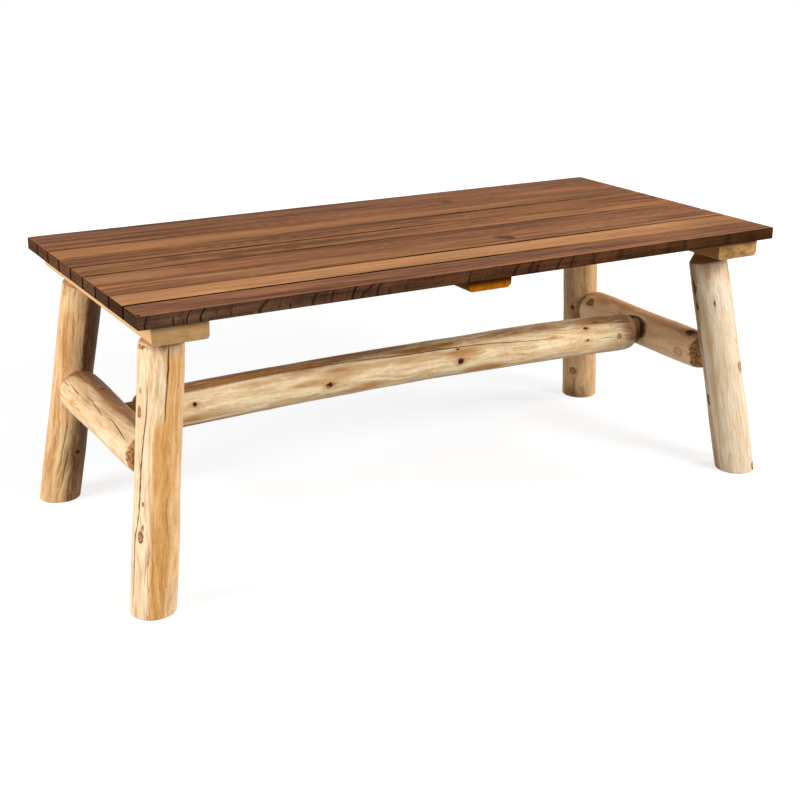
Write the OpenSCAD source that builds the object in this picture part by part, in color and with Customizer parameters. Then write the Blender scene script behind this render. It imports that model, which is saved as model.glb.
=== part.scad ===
// Log coffee table: a plank top on cleats, carried by four splayed log legs
// with round mortise and tenon joints.
// Length runs along X, depth along Y, the front faces -Y, the floor is z = 0.

/* [Top] */
// Height of the table top above the floor
table_h = 489; // [440:1:560]
// Length of the planks
top_l = 1220; // [1000:10:1500]
// Number of planks side by side
plank_n = 9; // [7:1:11]
// Width of one plank
plank_w = 63.5; // [56:0.5:75]
// Thickness of one plank
plank_t = 22; // [19:0.5:30]
// Gap between two planks
plank_gap = 2.5; // [1:0.5:5]
// Radius of the eased long edges of a plank
plank_edge_r = 2.5; // [1:0.5:5]

/* [Cleats] */
// Width of the two end cleats that hold the legs
cleat_w = 91; // [84:1:110]
// Thickness of the end cleats
cleat_t = 31.5; // [26:0.5:40]
// Radius of the lower long edges of the end cleats
cleat_edge_r = 6.5; // [2:0.5:10]
// Distance from the plank ends to the outer face of an end cleat
cleat_end_inset = 24; // [10:1:60]
// Distance from the front and back of the top to the ends of the cleats
cleat_side_inset = 14.5; // [5:0.5:30]
// Width of the middle cleat
middle_cleat_w = 84; // [60:1:110]
// Thickness of the middle cleat
middle_cleat_t = 21.5; // [18:0.5:30]
// Chamfer on the lower long edges of the middle cleat
middle_cleat_chamfer = 6; // [2:0.5:9]

/* [Legs] */
// Plank, counted from the front or back edge, under which the leg tenons stand
leg_under_plank = 2; // [2:1:3]
// Outward lean of the legs along the table
leg_splay_x = 8.1; // [4:0.1:12]
// Outward lean of the legs across the table
leg_splay_y = 7.8; // [4:0.1:12]
// Diameter of a leg at the foot
leg_foot_d = 74; // [66:1:84]
// Diameter of a leg below its shoulder
leg_top_d = 71.5; // [66:0.5:80]
// Diameter of the leg tenons in the end cleats
leg_tenon_d = 49; // [38:1:56]
// Length of the sloping shoulder under a leg tenon
leg_shoulder_l = 16; // [10:1:30]

/* [Stretchers] */
// Height of the left end stretcher's axis above the floor
rail_left_h = 228; // [180:1:280]
// Height of the right end stretcher's axis above the floor
rail_right_h = 223; // [180:1:280]
// Diameter of the end stretchers at the back
rail_back_d = 77; // [66:1:80]
// Diameter of the end stretchers at the front
rail_front_d = 70; // [62:1:78]
// Diameter of the long stretcher
long_d = 73.5; // [64:0.5:80]
// Upward bow of the long stretcher
long_bow = 10; // [3:1:20]
// Length of the domed shoulder on every stretcher end
dome_l = 18; // [10:1:26]
// Diameter of all stretcher tenons
tenon_d = 50; // [38:1:54]
// Length of the end stretchers' tenons
rail_tenon_l = 46; // [36:1:50]
// Length of the long stretcher's tenons
long_tenon_l = 54; // [44:1:58]
// Stretch of the long stretcher's tenons that shows outside the mortise
long_tenon_show = 9; // [3:1:12]

/* [Fasteners] */
// Shank diameter of the wood screws
screw_d = 4.5; // [3.5:0.5:6]
// Head diameter of the wood screws
screw_head_d = 9; // [8:0.5:12]
// Depth that a cleat screw reaches into its plank
screw_bite = 14; // [10:1:16]
// Distance of the screws from the long edges of the cleats
screw_edge = 11; // [9:0.5:12.5]
// Distance between the two screws of a plank across the table
screw_spread = 18; // [17:0.5:20]
// Length of the screws that lock the leg tenons
lock_screw_l = 45; // [35:1:55]

/* [Clearances] */
// Clearance all round a tenon in its mortise
tenon_fit = 0.25; // [0.1:0.05:0.6]
// Clearance between a shoulder and the piece that it seats on
shoulder_gap = 0.3; // [0.1:0.05:1]
// Spare depth behind a tenon's tip
mortise_spare = 1; // [0.5:0.5:3]
// Clearance all round a screw in its hole
screw_fit = 0.1; // [0.05:0.05:0.3]

/* [Hidden] */
SIDES = [-1, 1];
LEFT = -1;
RIGHT = 1;
MIDDLE = 0;
FRONT = -1;
BACK = 1;

// Facets on logs, bores, screws and the long stretcher's wide arc
log_fn = 96;
screw_fn = 24;
arc_fn = 1800;
// Steps along a log's outline and round a domed shoulder
log_steps = 12;
dome_steps = 8;
// Natural swell of a log and the number of swells along it
log_swell = 0.7;
log_swells = 1.5;
// Step between a shoulder's last ring and its tenon, and a tenon tip's chamfer
shoulder_lip = 1.5;
tip_chamfer = 3;
// Step that the tenon cutter leaves where a dome begins on the bowed log
cutter_step = 0.4;
// Straight rim of a screw head and length of its point
screw_rim = 0.5;
screw_point = 6;
// Length by which a cutting shape passes the surface that it cuts
over = 10;

wood_walnut = ["#6f4a36", "#7a5440", "#96653f"];
wood_cleat = "#c79a63";
wood_orange = "#bf7a2a";
wood_peeled = "#dcb987";
wood_shaded = "#cfa671";
steel = "#8e8f92";

// Planks and cleats
pitch = plank_w + plank_gap;
top_w = plank_n * pitch - plank_gap;
plank_z = table_h - plank_t;
cleat_z = plank_z - cleat_t;
cleat_x = top_l / 2 - cleat_end_inset - cleat_w / 2;
cleat_l = top_w - 2 * cleat_side_inset;

function plank_y(i) = (i - (plank_n + 1) / 2) * pitch;
function cleat_width(side) = side == MIDDLE ? middle_cleat_w : cleat_w;
function cleat_thick(side) = side == MIDDLE ? middle_cleat_t : cleat_t;

// Legs: the axis of each passes the underside of its cleat at cleat_x, leg_y
leg_y = plank_y(plank_n + 1 - leg_under_plank);
leg_tilt = atan(norm([tan(leg_splay_x), tan(leg_splay_y)]));
leg_l = cleat_z / cos(leg_tilt);
leg_root = -leg_tenon_d / 2 * tan(leg_tilt) - shoulder_gap / cos(leg_tilt);
leg_rim = leg_root - leg_shoulder_l;

function leg_axis_x(z) = cleat_x + (cleat_z - z) * tan(leg_splay_x);
function leg_axis_y(z) = leg_y + (cleat_z - z) * tan(leg_splay_y);

// Radius of a log at the share t of its length, from its first to its second end
function log_r(t, first_d, second_d) =
    (first_d + (second_d - first_d) * t) / 2 + log_swell * sin(360 * log_swells * t);
function leg_r(z) = log_r(z / cos(leg_tilt) / (leg_l + leg_rim), leg_foot_d, leg_top_d);

// End stretchers: their shoulders seat on the legs' inner faces
root_r = tenon_d / 2 + shoulder_lip;

function rail_h(side) = side == LEFT ? rail_left_h : rail_right_h;
function rail_x(side) = leg_axis_x(rail_h(side));
function rail_root(side) =
    leg_axis_y(rail_h(side) + root_r)
    - leg_r(rail_h(side) + root_r) / cos(leg_splay_y)
    - shoulder_gap;

// Long stretcher: an arc between the end stretchers, with straight ends
rail_middle_r = log_r(0.5, rail_front_d, rail_back_d);
long_span = norm([rail_x(RIGHT) + rail_x(LEFT), rail_right_h - rail_left_h]);
long_slope = atan2(rail_right_h - rail_left_h, rail_x(RIGHT) + rail_x(LEFT));
long_end_l = rail_middle_r + long_tenon_show + dome_l;
long_body = long_span / 2 - long_end_l;
arc_r = (long_body * long_body + long_bow * long_bow) / (2 * long_bow);
arc_a = asin(long_body / arc_r);
long_end_z = long_end_l * tan(arc_a);

// Sections and profiles

// Cuts one corner of a section at the origin to a round of radius r
module corner_round(r) {
    difference() {
        translate([-over, -over]) square(r + over);
        translate([r, r]) circle(r = r, $fn = screw_fn * 2);
    }
}

// Cuts one corner of a section at the origin to a flat of width c
module corner_flat(c) {
    polygon([[-over, -over], [c + over, -over], [-over, c + over]]);
}

// A board's section, centred on x, its underside on y = 0
module board_section(w, t) {
    translate([-w / 2, 0]) square([w, t]);
}

// Places a corner cutter on both lower corners of a board's section
module lower_corners(w) {
    for (side = SIDES) mirror([side == RIGHT ? 1 : 0, 0]) translate([-w / 2, 0]) children();
}

// Places a corner cutter on both upper corners of a board's section
module upper_corners(w, t) {
    for (side = SIDES) mirror([side == RIGHT ? 1 : 0, 0]) translate([-w / 2, t]) mirror([0, 1]) children();
}

// Points of a domed shoulder that narrows from r to the tenon's root ring
function dome(r, start, sense) = [
    for (k = [0:dome_steps])
        let (a = 90 * k / dome_steps)
        [root_r + (r - root_r) * cos(a), start + sense * dome_l * sin(a)]
];

// Points of a tenon that leaves the shoulder at root and ends in a chamfered tip
function tenon(root, l, sense) = [
    [tenon_d / 2, root],
    [tenon_d / 2, root + sense * (l - tip_chamfer)],
    [tenon_d / 2 - tip_chamfer, root + sense * l],
    [0, root + sense * l]
];

function reversed(points) = [for (k = [len(points) - 1:-1:0]) points[k]];

// Fasteners

// A countersunk wood screw along +Z, its head's face at z = 0; grow widens it to its hole
module screw(l, grow = 0) {
    head_r = screw_head_d / 2 + grow;
    shank_r = screw_d / 2 + grow;
    rotate_extrude($fn = screw_fn)
        polygon([
            [0, -grow],
            [head_r, -grow],
            [head_r, screw_rim],
            [shank_r, screw_rim + head_r - shank_r],
            [shank_r, l - screw_point + grow],
            [grow, l + grow],
            [0, l + grow]
        ]);
}

// The two screws that hold plank i to one cleat
module plank_screws(side, i, grow = 0) {
    for (s = SIDES)
        translate([
            side * cleat_x + s * (cleat_width(side) / 2 - screw_edge),
            plank_y(i) + s * screw_spread / 2,
            plank_z - cleat_thick(side)
        ])
            screw(cleat_thick(side) + screw_bite, grow);
}

// The screw that goes through a cleat's inner edge into a leg tenon
module lock_screw(sx, sy, grow = 0) {
    mid_z = cleat_z + cleat_t / 2;
    translate([sx * (cleat_x - cleat_w / 2), sy * leg_axis_y(mid_z), mid_z])
        rotate([0, sx * 90, 0])
            screw(lock_screw_l, grow);
}

module cleat_screws(side) {
    color(steel)
        for (i = [1:plank_n]) plank_screws(side, i);
}

module tenon_lock_screws() {
    color(steel)
        for (sx = SIDES, sy = SIDES) lock_screw(sx, sy);
}

// Top

module plank(i) {
    color(wood_walnut[(i * i) % len(wood_walnut)])
        difference() {
            translate([0, plank_y(i), plank_z])
                rotate([90, 0, 90])
                    linear_extrude(top_l, center = true)
                        difference() {
                            board_section(plank_w, plank_t);
                            lower_corners(plank_w) corner_round(plank_edge_r);
                            upper_corners(plank_w, plank_t) corner_round(plank_edge_r);
                        }
            for (side = [LEFT, MIDDLE, RIGHT]) plank_screws(side, i, screw_fit);
        }
}

// A cleat across the planks; its section is cut by the children on both lower corners
module cleat(side) {
    difference() {
        translate([side * cleat_x, 0, plank_z - cleat_thick(side)])
            rotate([90, 0, 0])
                linear_extrude(cleat_l, center = true)
                    difference() {
                        board_section(cleat_width(side), cleat_thick(side));
                        lower_corners(cleat_width(side)) children();
                    }
        for (i = [1:plank_n]) plank_screws(side, i, screw_fit);
    }
}

// An end cleat, bored at the legs' compound angle for the two leg tenons
module end_cleat(side) {
    color(wood_cleat)
        difference() {
            cleat(side) corner_round(cleat_edge_r);
            for (sy = SIDES) {
                at_leg(side, sy)
                    translate([0, 0, -leg_tenon_d])
                        cylinder(d = leg_tenon_d + 2 * tenon_fit, h = 2 * leg_tenon_d + cleat_t, $fn = log_fn);
                lock_screw(side, sy, screw_fit);
            }
        }
}

module middle_cleat() {
    color(wood_orange)
        cleat(MIDDLE) corner_flat(middle_cleat_chamfer);
}

// Legs

// Places its children on a leg's axis: z = 0 at the cleat's underside, +Z up the leg.
// They lean towards the table's middle without turning about the axis.
module at_leg(sx, sy) {
    inward = atan2(-sy * tan(leg_splay_y), -sx * tan(leg_splay_x));
    translate([sx * cleat_x, sy * leg_y, cleat_z])
        rotate([0, leg_tilt, inward])
            rotate([0, 0, -inward])
                children();
}

// A leg's log before it is cut level: foot, swelling shaft, sloping shoulder and tenon
module leg_log() {
    foot = -leg_l;
    tip = (cleat_t + leg_tenon_d) / cos(leg_tilt);
    rotate_extrude($fn = log_fn)
        polygon(concat(
            [[0, foot - over], [leg_foot_d / 2, foot - over]],
            [for (k = [0:log_steps])
                let (t = k / log_steps)
                [log_r(t, leg_foot_d, leg_top_d), foot + (leg_rim - foot) * t]],
            [[leg_tenon_d / 2, leg_root], [leg_tenon_d / 2, tip], [0, tip]]
        ));
}

// The blind mortise that an end stretcher's tenon enters, bored from the inner side
module rail_mortise(sx, sy) {
    depth = rail_tenon_l + mortise_spare;
    translate([sx * rail_x(sx), sy * (rail_root(sx) + depth), rail_h(sx)])
        rotate([sy * 90, 0, 0])
            cylinder(d = tenon_d + 2 * tenon_fit, h = depth + tenon_d, $fn = log_fn);
}

// One leg, sawn level at the floor and just below the planks
module leg(sx, sy) {
    color(sy == FRONT ? wood_peeled : wood_shaded)
        difference() {
            intersection() {
                at_leg(sx, sy) leg_log();
                translate([-top_l, -top_l, 0]) cube([2 * top_l, 2 * top_l, plank_z - shoulder_gap]);
            }
            rail_mortise(sx, sy);
            lock_screw(sx, sy, screw_fit);
        }
}

// Stretchers

// An end stretcher: a tapering log along Y with a dome and a tenon at each end
module end_stretcher(side) {
    root = rail_root(side);
    start = root - dome_l;
    color(wood_shaded)
        difference() {
            translate([side * rail_x(side), 0, rail_h(side)])
                rotate([-90, 0, 0])
                    rotate_extrude($fn = log_fn)
                        polygon(concat(
                            reversed(tenon(-root, rail_tenon_l, -1)),
                            reversed(dome(log_r(0, rail_front_d, rail_back_d), -start, -1)),
                            [for (k = [1:log_steps - 1])
                                let (t = k / log_steps)
                                [log_r(t, rail_front_d, rail_back_d), start * (2 * t - 1)]],
                            dome(log_r(1, rail_front_d, rail_back_d), start, 1),
                            tenon(root, rail_tenon_l, 1)
                        ));
            at_long_end(side)
                translate([0, 0, dome_l])
                    cylinder(d = tenon_d + 2 * tenon_fit, h = long_tenon_l + mortise_spare, $fn = log_fn);
        }
}

// Places its children half-way between the end stretchers, +X from left to right
module long_frame() {
    translate([(rail_x(RIGHT) - rail_x(LEFT)) / 2, 0, (rail_left_h + rail_right_h) / 2])
        rotate([0, -long_slope, 0])
            children();
}

// Places its children on the end of the long stretcher's arc, +Z out along its tangent
module at_long_end(side) {
    long_frame()
        translate([side * long_body, 0, long_end_z])
            rotate([0, side * (90 + arc_a), 0])
                children();
}

// The long stretcher: a log bowed upwards, with a dome and a tenon at each end
module long_stretcher() {
    dome_r = long_d / 2 - cutter_step;
    color(wood_peeled) {
        long_frame()
            translate([0, 0, long_end_z + long_bow - arc_r])
                rotate([90, 0, 0])
                    rotate([0, 0, 90 - arc_a])
                        rotate_extrude(angle = 2 * arc_a, $fn = arc_fn)
                            translate([arc_r, 0]) circle(d = long_d, $fn = log_fn);
        for (side = SIDES)
            at_long_end(side)
                rotate_extrude($fn = log_fn)
                    polygon(concat(
                        [[0, -over], [dome_r, -over]],
                        dome(dome_r, 0, 1),
                        tenon(dome_l, long_tenon_l, 1)
                    ));
    }
}

for (i = [1:plank_n])
    plank(i);
end_cleat(LEFT);  // cleat_left
middle_cleat();  // cleat_middle
end_cleat(RIGHT);  // cleat_right
leg(LEFT, FRONT);  // leg_front_left
leg(LEFT, BACK);  // leg_back_left
leg(RIGHT, FRONT);  // leg_front_right
leg(RIGHT, BACK);  // leg_back_right
end_stretcher(LEFT);  // end_stretcher_left
end_stretcher(RIGHT);  // end_stretcher_right
long_stretcher();
cleat_screws(LEFT);  // cleat_screws_left
cleat_screws(MIDDLE);  // cleat_screws_middle
cleat_screws(RIGHT);  // cleat_screws_right
tenon_lock_screws();
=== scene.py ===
"""Dresses the log coffee table: worn planks, cleats, peeled logs, screws and a plain studio."""

import logging
import math
from contextlib import contextmanager
from dataclasses import dataclass, field
from enum import Enum
from typing import Callable, Iterable, Iterator, Sequence, Union

import bmesh
import bpy
import numpy as np
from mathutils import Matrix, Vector


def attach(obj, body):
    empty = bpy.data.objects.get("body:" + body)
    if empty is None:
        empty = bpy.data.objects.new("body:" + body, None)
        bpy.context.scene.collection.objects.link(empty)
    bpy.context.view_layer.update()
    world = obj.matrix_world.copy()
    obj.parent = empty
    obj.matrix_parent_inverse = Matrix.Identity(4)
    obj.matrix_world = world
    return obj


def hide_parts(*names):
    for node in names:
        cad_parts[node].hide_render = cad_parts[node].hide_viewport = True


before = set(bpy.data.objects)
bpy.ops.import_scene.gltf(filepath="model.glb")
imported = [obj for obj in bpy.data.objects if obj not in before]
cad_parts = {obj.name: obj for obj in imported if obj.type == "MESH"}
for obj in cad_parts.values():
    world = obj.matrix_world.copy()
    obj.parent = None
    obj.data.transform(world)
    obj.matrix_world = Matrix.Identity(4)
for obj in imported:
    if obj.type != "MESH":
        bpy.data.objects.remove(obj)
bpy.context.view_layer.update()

LOG = logging.getLogger("log_coffee_table")
BODY = "root"
CLOSE = 1e-5
WHITE = (1.0, 1.0, 1.0, 1.0)

Colour = tuple[float, float, float, float]
Triple = tuple[float, float, float]
Place = tuple[Triple, float]
GapShadeAndDirt = tuple[tuple[float, float], ...]


def paint(code: str, scale: Triple = (1.0, 1.0, 1.0)) -> Colour:
    """Turns a colour as a painter writes it into the linear colour of a shader.

    Args:
        code: Six hexadecimal digits, such as "f0dcb4".
        scale: Factors of its linear red, green and blue.

    Returns:
        The linear colour with full opacity.
    """
    levels = [int(code[k : k + 2], 16) / 255 for k in (0, 2, 4)]
    linear = [v / 12.92 if v <= 0.04045 else ((v + 0.055) / 1.055) ** 2.4 for v in levels]
    return (linear[0] * scale[0], linear[1] * scale[1], linear[2] * scale[2], 1.0)


def rows(kind: type, *entries: tuple[object, ...]) -> tuple[object, ...]:
    """Makes one record of a kind from each row of its values."""
    return tuple(kind(*entry) for entry in entries)


# Shader maths


class Number:
    """A value that varies over a surface. Arithmetic on it adds Math nodes."""

    def __init__(self, shader: "Shader", socket: bpy.types.NodeSocket) -> None:
        """Wraps an output socket of a shader's node."""
        self.shader = shader
        self.socket = socket

    def _math(self, operation: str, *values: "Operand") -> "Number":
        """Adds one Math node over the given values."""
        inputs = dict(enumerate(values))
        return Number(self.shader, self.shader.node("ShaderNodeMath", {"operation": operation}, inputs))

    def __add__(self, other: "Operand") -> "Number":
        """Gives the sum."""
        return self._math("ADD", self, other)

    def __sub__(self, other: "Operand") -> "Number":
        """Gives the difference."""
        return self._math("SUBTRACT", self, other)

    def __rsub__(self, other: "Operand") -> "Number":
        """Gives a plain number less this value."""
        return self._math("SUBTRACT", other, self)

    def __mul__(self, other: "Operand") -> "Number":
        """Gives the product."""
        return self._math("MULTIPLY", self, other)

    def __truediv__(self, other: "Operand") -> "Number":
        """Gives the quotient."""
        return self._math("DIVIDE", self, other)

    def __abs__(self) -> "Number":
        """Gives the size without its sign."""
        return self._math("ABSOLUTE", self)

    __radd__ = __add__
    __rmul__ = __mul__

    def sine(self) -> "Number":
        """Gives the sine."""
        return self._math("SINE", self)

    def high(self, other: "Operand") -> "Number":
        """Gives the larger of two values."""
        return self._math("MAXIMUM", self, other)

    def low(self, other: "Operand") -> "Number":
        """Gives the smaller of two values."""
        return self._math("MINIMUM", self, other)

    def hypot(self, other: "Number") -> "Number":
        """Gives the length of a step with these two parts."""
        return self._math("SQRT", self * self + other * other)

    def ease(self, start: float, end: float) -> "Number":
        """Rises smoothly from 0 to 1.

        Args:
            start: Value where the result is 0.
            end: Value where it is 1, which may be below start.

        Returns:
            The eased value.
        """
        low, high = sorted((start, end))
        inputs = {"Value": self, "From Min": low, "From Max": high}
        settings = {"interpolation_type": "SMOOTHSTEP"}
        eased = Number(self.shader, self.shader.node("ShaderNodeMapRange", settings, inputs))
        return 1 - eased if start > end else eased


Operand = Union[Number, float, int]
Paint = Union[Colour, bpy.types.NodeSocket]


class Shader:
    """Builds the node tree of one material, or of the world."""

    def __init__(self, owner: bpy.types.Material | bpy.types.World) -> None:
        """Starts an empty tree in a new material or world."""
        self.owner = owner
        owner.use_nodes = True
        self.tree = owner.node_tree
        self.tree.nodes.clear()

    def node(
        self, kind: str, settings: dict[str, object] | None = None,
        inputs: dict[object, object] | None = None, output: object = 0,
    ) -> bpy.types.NodeSocket | None:
        """Adds a node, sets it, and feeds its sockets.

        Args:
            kind: The node's type.
            settings: Properties, which are set first; "stops" holds a ramp's (place, grey) pairs.
            inputs: Values or links by socket name or number.
            output: Name, number or slice of the outputs that are wanted.

        Returns:
            That output, or nothing for the last node of a tree.
        """
        made = self.tree.nodes.new(kind)
        for name, value in (settings or {}).items():
            if name == "stops":
                elements = made.color_ramp.elements
                while len(elements) < len(value):
                    elements.new(0.5)
                for element, (place, grey) in zip(elements, value):
                    element.position = place
                    element.color = (grey, grey, grey, 1)
            else:
                setattr(made, name, value)
        for name, value in (inputs or {}).items():
            socket = made.inputs[name]
            value = value.socket if isinstance(value, Number) else value
            if isinstance(value, bpy.types.NodeSocket):
                self.tree.links.new(value, socket)
            else:
                socket.default_value = value
        return made.outputs[output] if made.outputs else None

    def place(self) -> bpy.types.NodeSocket:
        """Gives the surface point in the piece's own frame."""
        return self.node("ShaderNodeTexCoord", output="Object")

    def mark(self, name: str) -> bpy.types.NodeSocket:
        """Gives a vector that is stored on the mesh."""
        return self.node("ShaderNodeAttribute", {"attribute_name": name}, output="Vector")

    def split(self, vector: bpy.types.NodeSocket) -> tuple[Number, Number, Number]:
        """Gives the three parts of a vector."""
        parts = self.node("ShaderNodeSeparateXYZ", inputs={0: vector}, output=slice(0, 3))
        return tuple(Number(self, part) for part in parts)

    def join(self, x: Operand, y: Operand, z: Operand) -> bpy.types.NodeSocket:
        """Gives a vector from three parts."""
        return self.node("ShaderNodeCombineXYZ", inputs={0: x, 1: y, 2: z})

    def seen(self) -> Number:
        """Gives 1 where a ray shows the surroundings and doesn't light the table."""
        rays = ("Is Camera Ray", "Is Glossy Ray", "Is Transmission Ray")
        camera, glossy, clear = (Number(self, self.node("ShaderNodeLightPath", output=r)) for r in rays)
        return camera.high(glossy).high(clear)

    def noise(
        self, where: bpy.types.NodeSocket, scale: Triple, seed: float, detail: float = 2.0,
        rough: float = 0.5,
    ) -> Number:
        """Gives smooth noise about zero, from roughly -1 to 1.

        Args:
            where: The point that is read.
            scale: Noise cells per metre along each axis.
            seed: Shifts the pattern, so that no two pieces are alike.
            detail: Number of finer layers.
            rough: Strength of the finer layers.

        Returns:
            The noise value.
        """
        shift = (seed * 3.7 % 29, seed * 5.3 % 31, seed * 7.9 % 37)
        inputs = {"Vector": where, "Location": shift, "Scale": scale}
        moved = self.node("ShaderNodeMapping", inputs=inputs)
        inputs = {"Vector": moved, "Scale": 1.0, "Detail": detail, "Roughness": rough}
        return (Number(self, self.node("ShaderNodeTexNoise", inputs=inputs)) - 0.5) * 3.2

    def cells(self, where: bpy.types.NodeSocket, scale: Triple, seed: float) -> Number:
        """Gives the distance to scattered points, in cells, for crumbs and flakes.

        Args:
            where: The point that is read.
            scale: Cells per metre along each axis.
            seed: Shifts the pattern.

        Returns:
            The distance.
        """
        shift = (seed * 2.9 % 23, seed * 4.1 % 19, seed * 6.7 % 27)
        inputs = {"Vector": where, "Location": shift, "Scale": scale}
        inputs = {"Vector": self.node("ShaderNodeMapping", inputs=inputs), "Scale": 1.0}
        return Number(self, self.node("ShaderNodeTexVoronoi", inputs=inputs, output="Distance"))

    def mix(self, share: Operand, first: Paint, second: Paint) -> bpy.types.NodeSocket:
        """Blends two colours by a share from 0 to 1."""
        settings = {"data_type": "RGBA", "clamp_factor": True}
        return self.node("ShaderNodeMix", settings, {0: share, 6: first, 7: second}, 2)

    def finish(
        self, colour: Paint, roughness: Operand, relief: Number, depth: float, specular: float,
        metallic: float = 0.0,
    ) -> bpy.types.Material:
        """Closes the tree with one principled surface.

        Args:
            colour: The base colour.
            roughness: The roughness.
            relief: Height that the bump follows, in units of depth.
            depth: Height of one unit of relief, in metres.
            specular: Level of the plain gloss.
            metallic: Share of metal.

        Returns:
            The finished material.
        """
        bump = {"Height": relief, "Distance": depth, "Strength": 1.0}
        surface = self.node("ShaderNodeBsdfPrincipled", inputs={
            "Base Color": colour, "Roughness": roughness, "Metallic": metallic,
            "Specular IOR Level": specular, "Normal": self.node("ShaderNodeBump", inputs=bump),
        })
        self.node("ShaderNodeOutputMaterial", inputs={"Surface": surface})
        return self.owner


# Finishes

# Painted shade between the planks: in the gaps, with some grime, and in the slots at their ends.
GAP_SHADE_AND_GRIME, SLOT_SHADE = "120905", "120a06"
SAWN_LEFT, SAWN_RIGHT, SAWN_FAR = ("291c16", "73523e"), ("261509", "654026"), "301a0b"
SOOT, BLADE, EAVES = "241711", "140c09", "1f1410"
KNOT_HALO, KNOT_WOOD, KNOT_RIM, KNOT_HEART = "ab6e30", "ab7740", "5c3718", "2b180c"
CHECK_LIP, CHECK_SHADE, BARK_DUST = "9c6531", "2a190c", "33200f"


@dataclass(frozen=True)
class Spot:
    """A cloud, streak or knot in a plank, or the painted shade of a chip: its middle, half size, strength,
    colour and lean.

    Without a colour of its own it's a darker tone of its plank.
    """

    x: float
    across: float
    long: float
    wide: float
    level: float = 0.6
    tone: str = ""
    lean: float = 0.0


@dataclass(frozen=True)
class SawStroke:
    """One curved mark of the saw on the front face: where it is, and how far up it starts and ends."""

    x: float
    lean: float
    wide: float = 0.0016
    level: float = 0.8
    high: float = 1.2
    low: float = -0.2


@dataclass(frozen=True)
class Board:
    """Where a plank lies: its middle line, half width, thickness, height of its top and half length."""

    centre: float
    half: float
    thick: float
    top: float
    end: float


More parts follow.
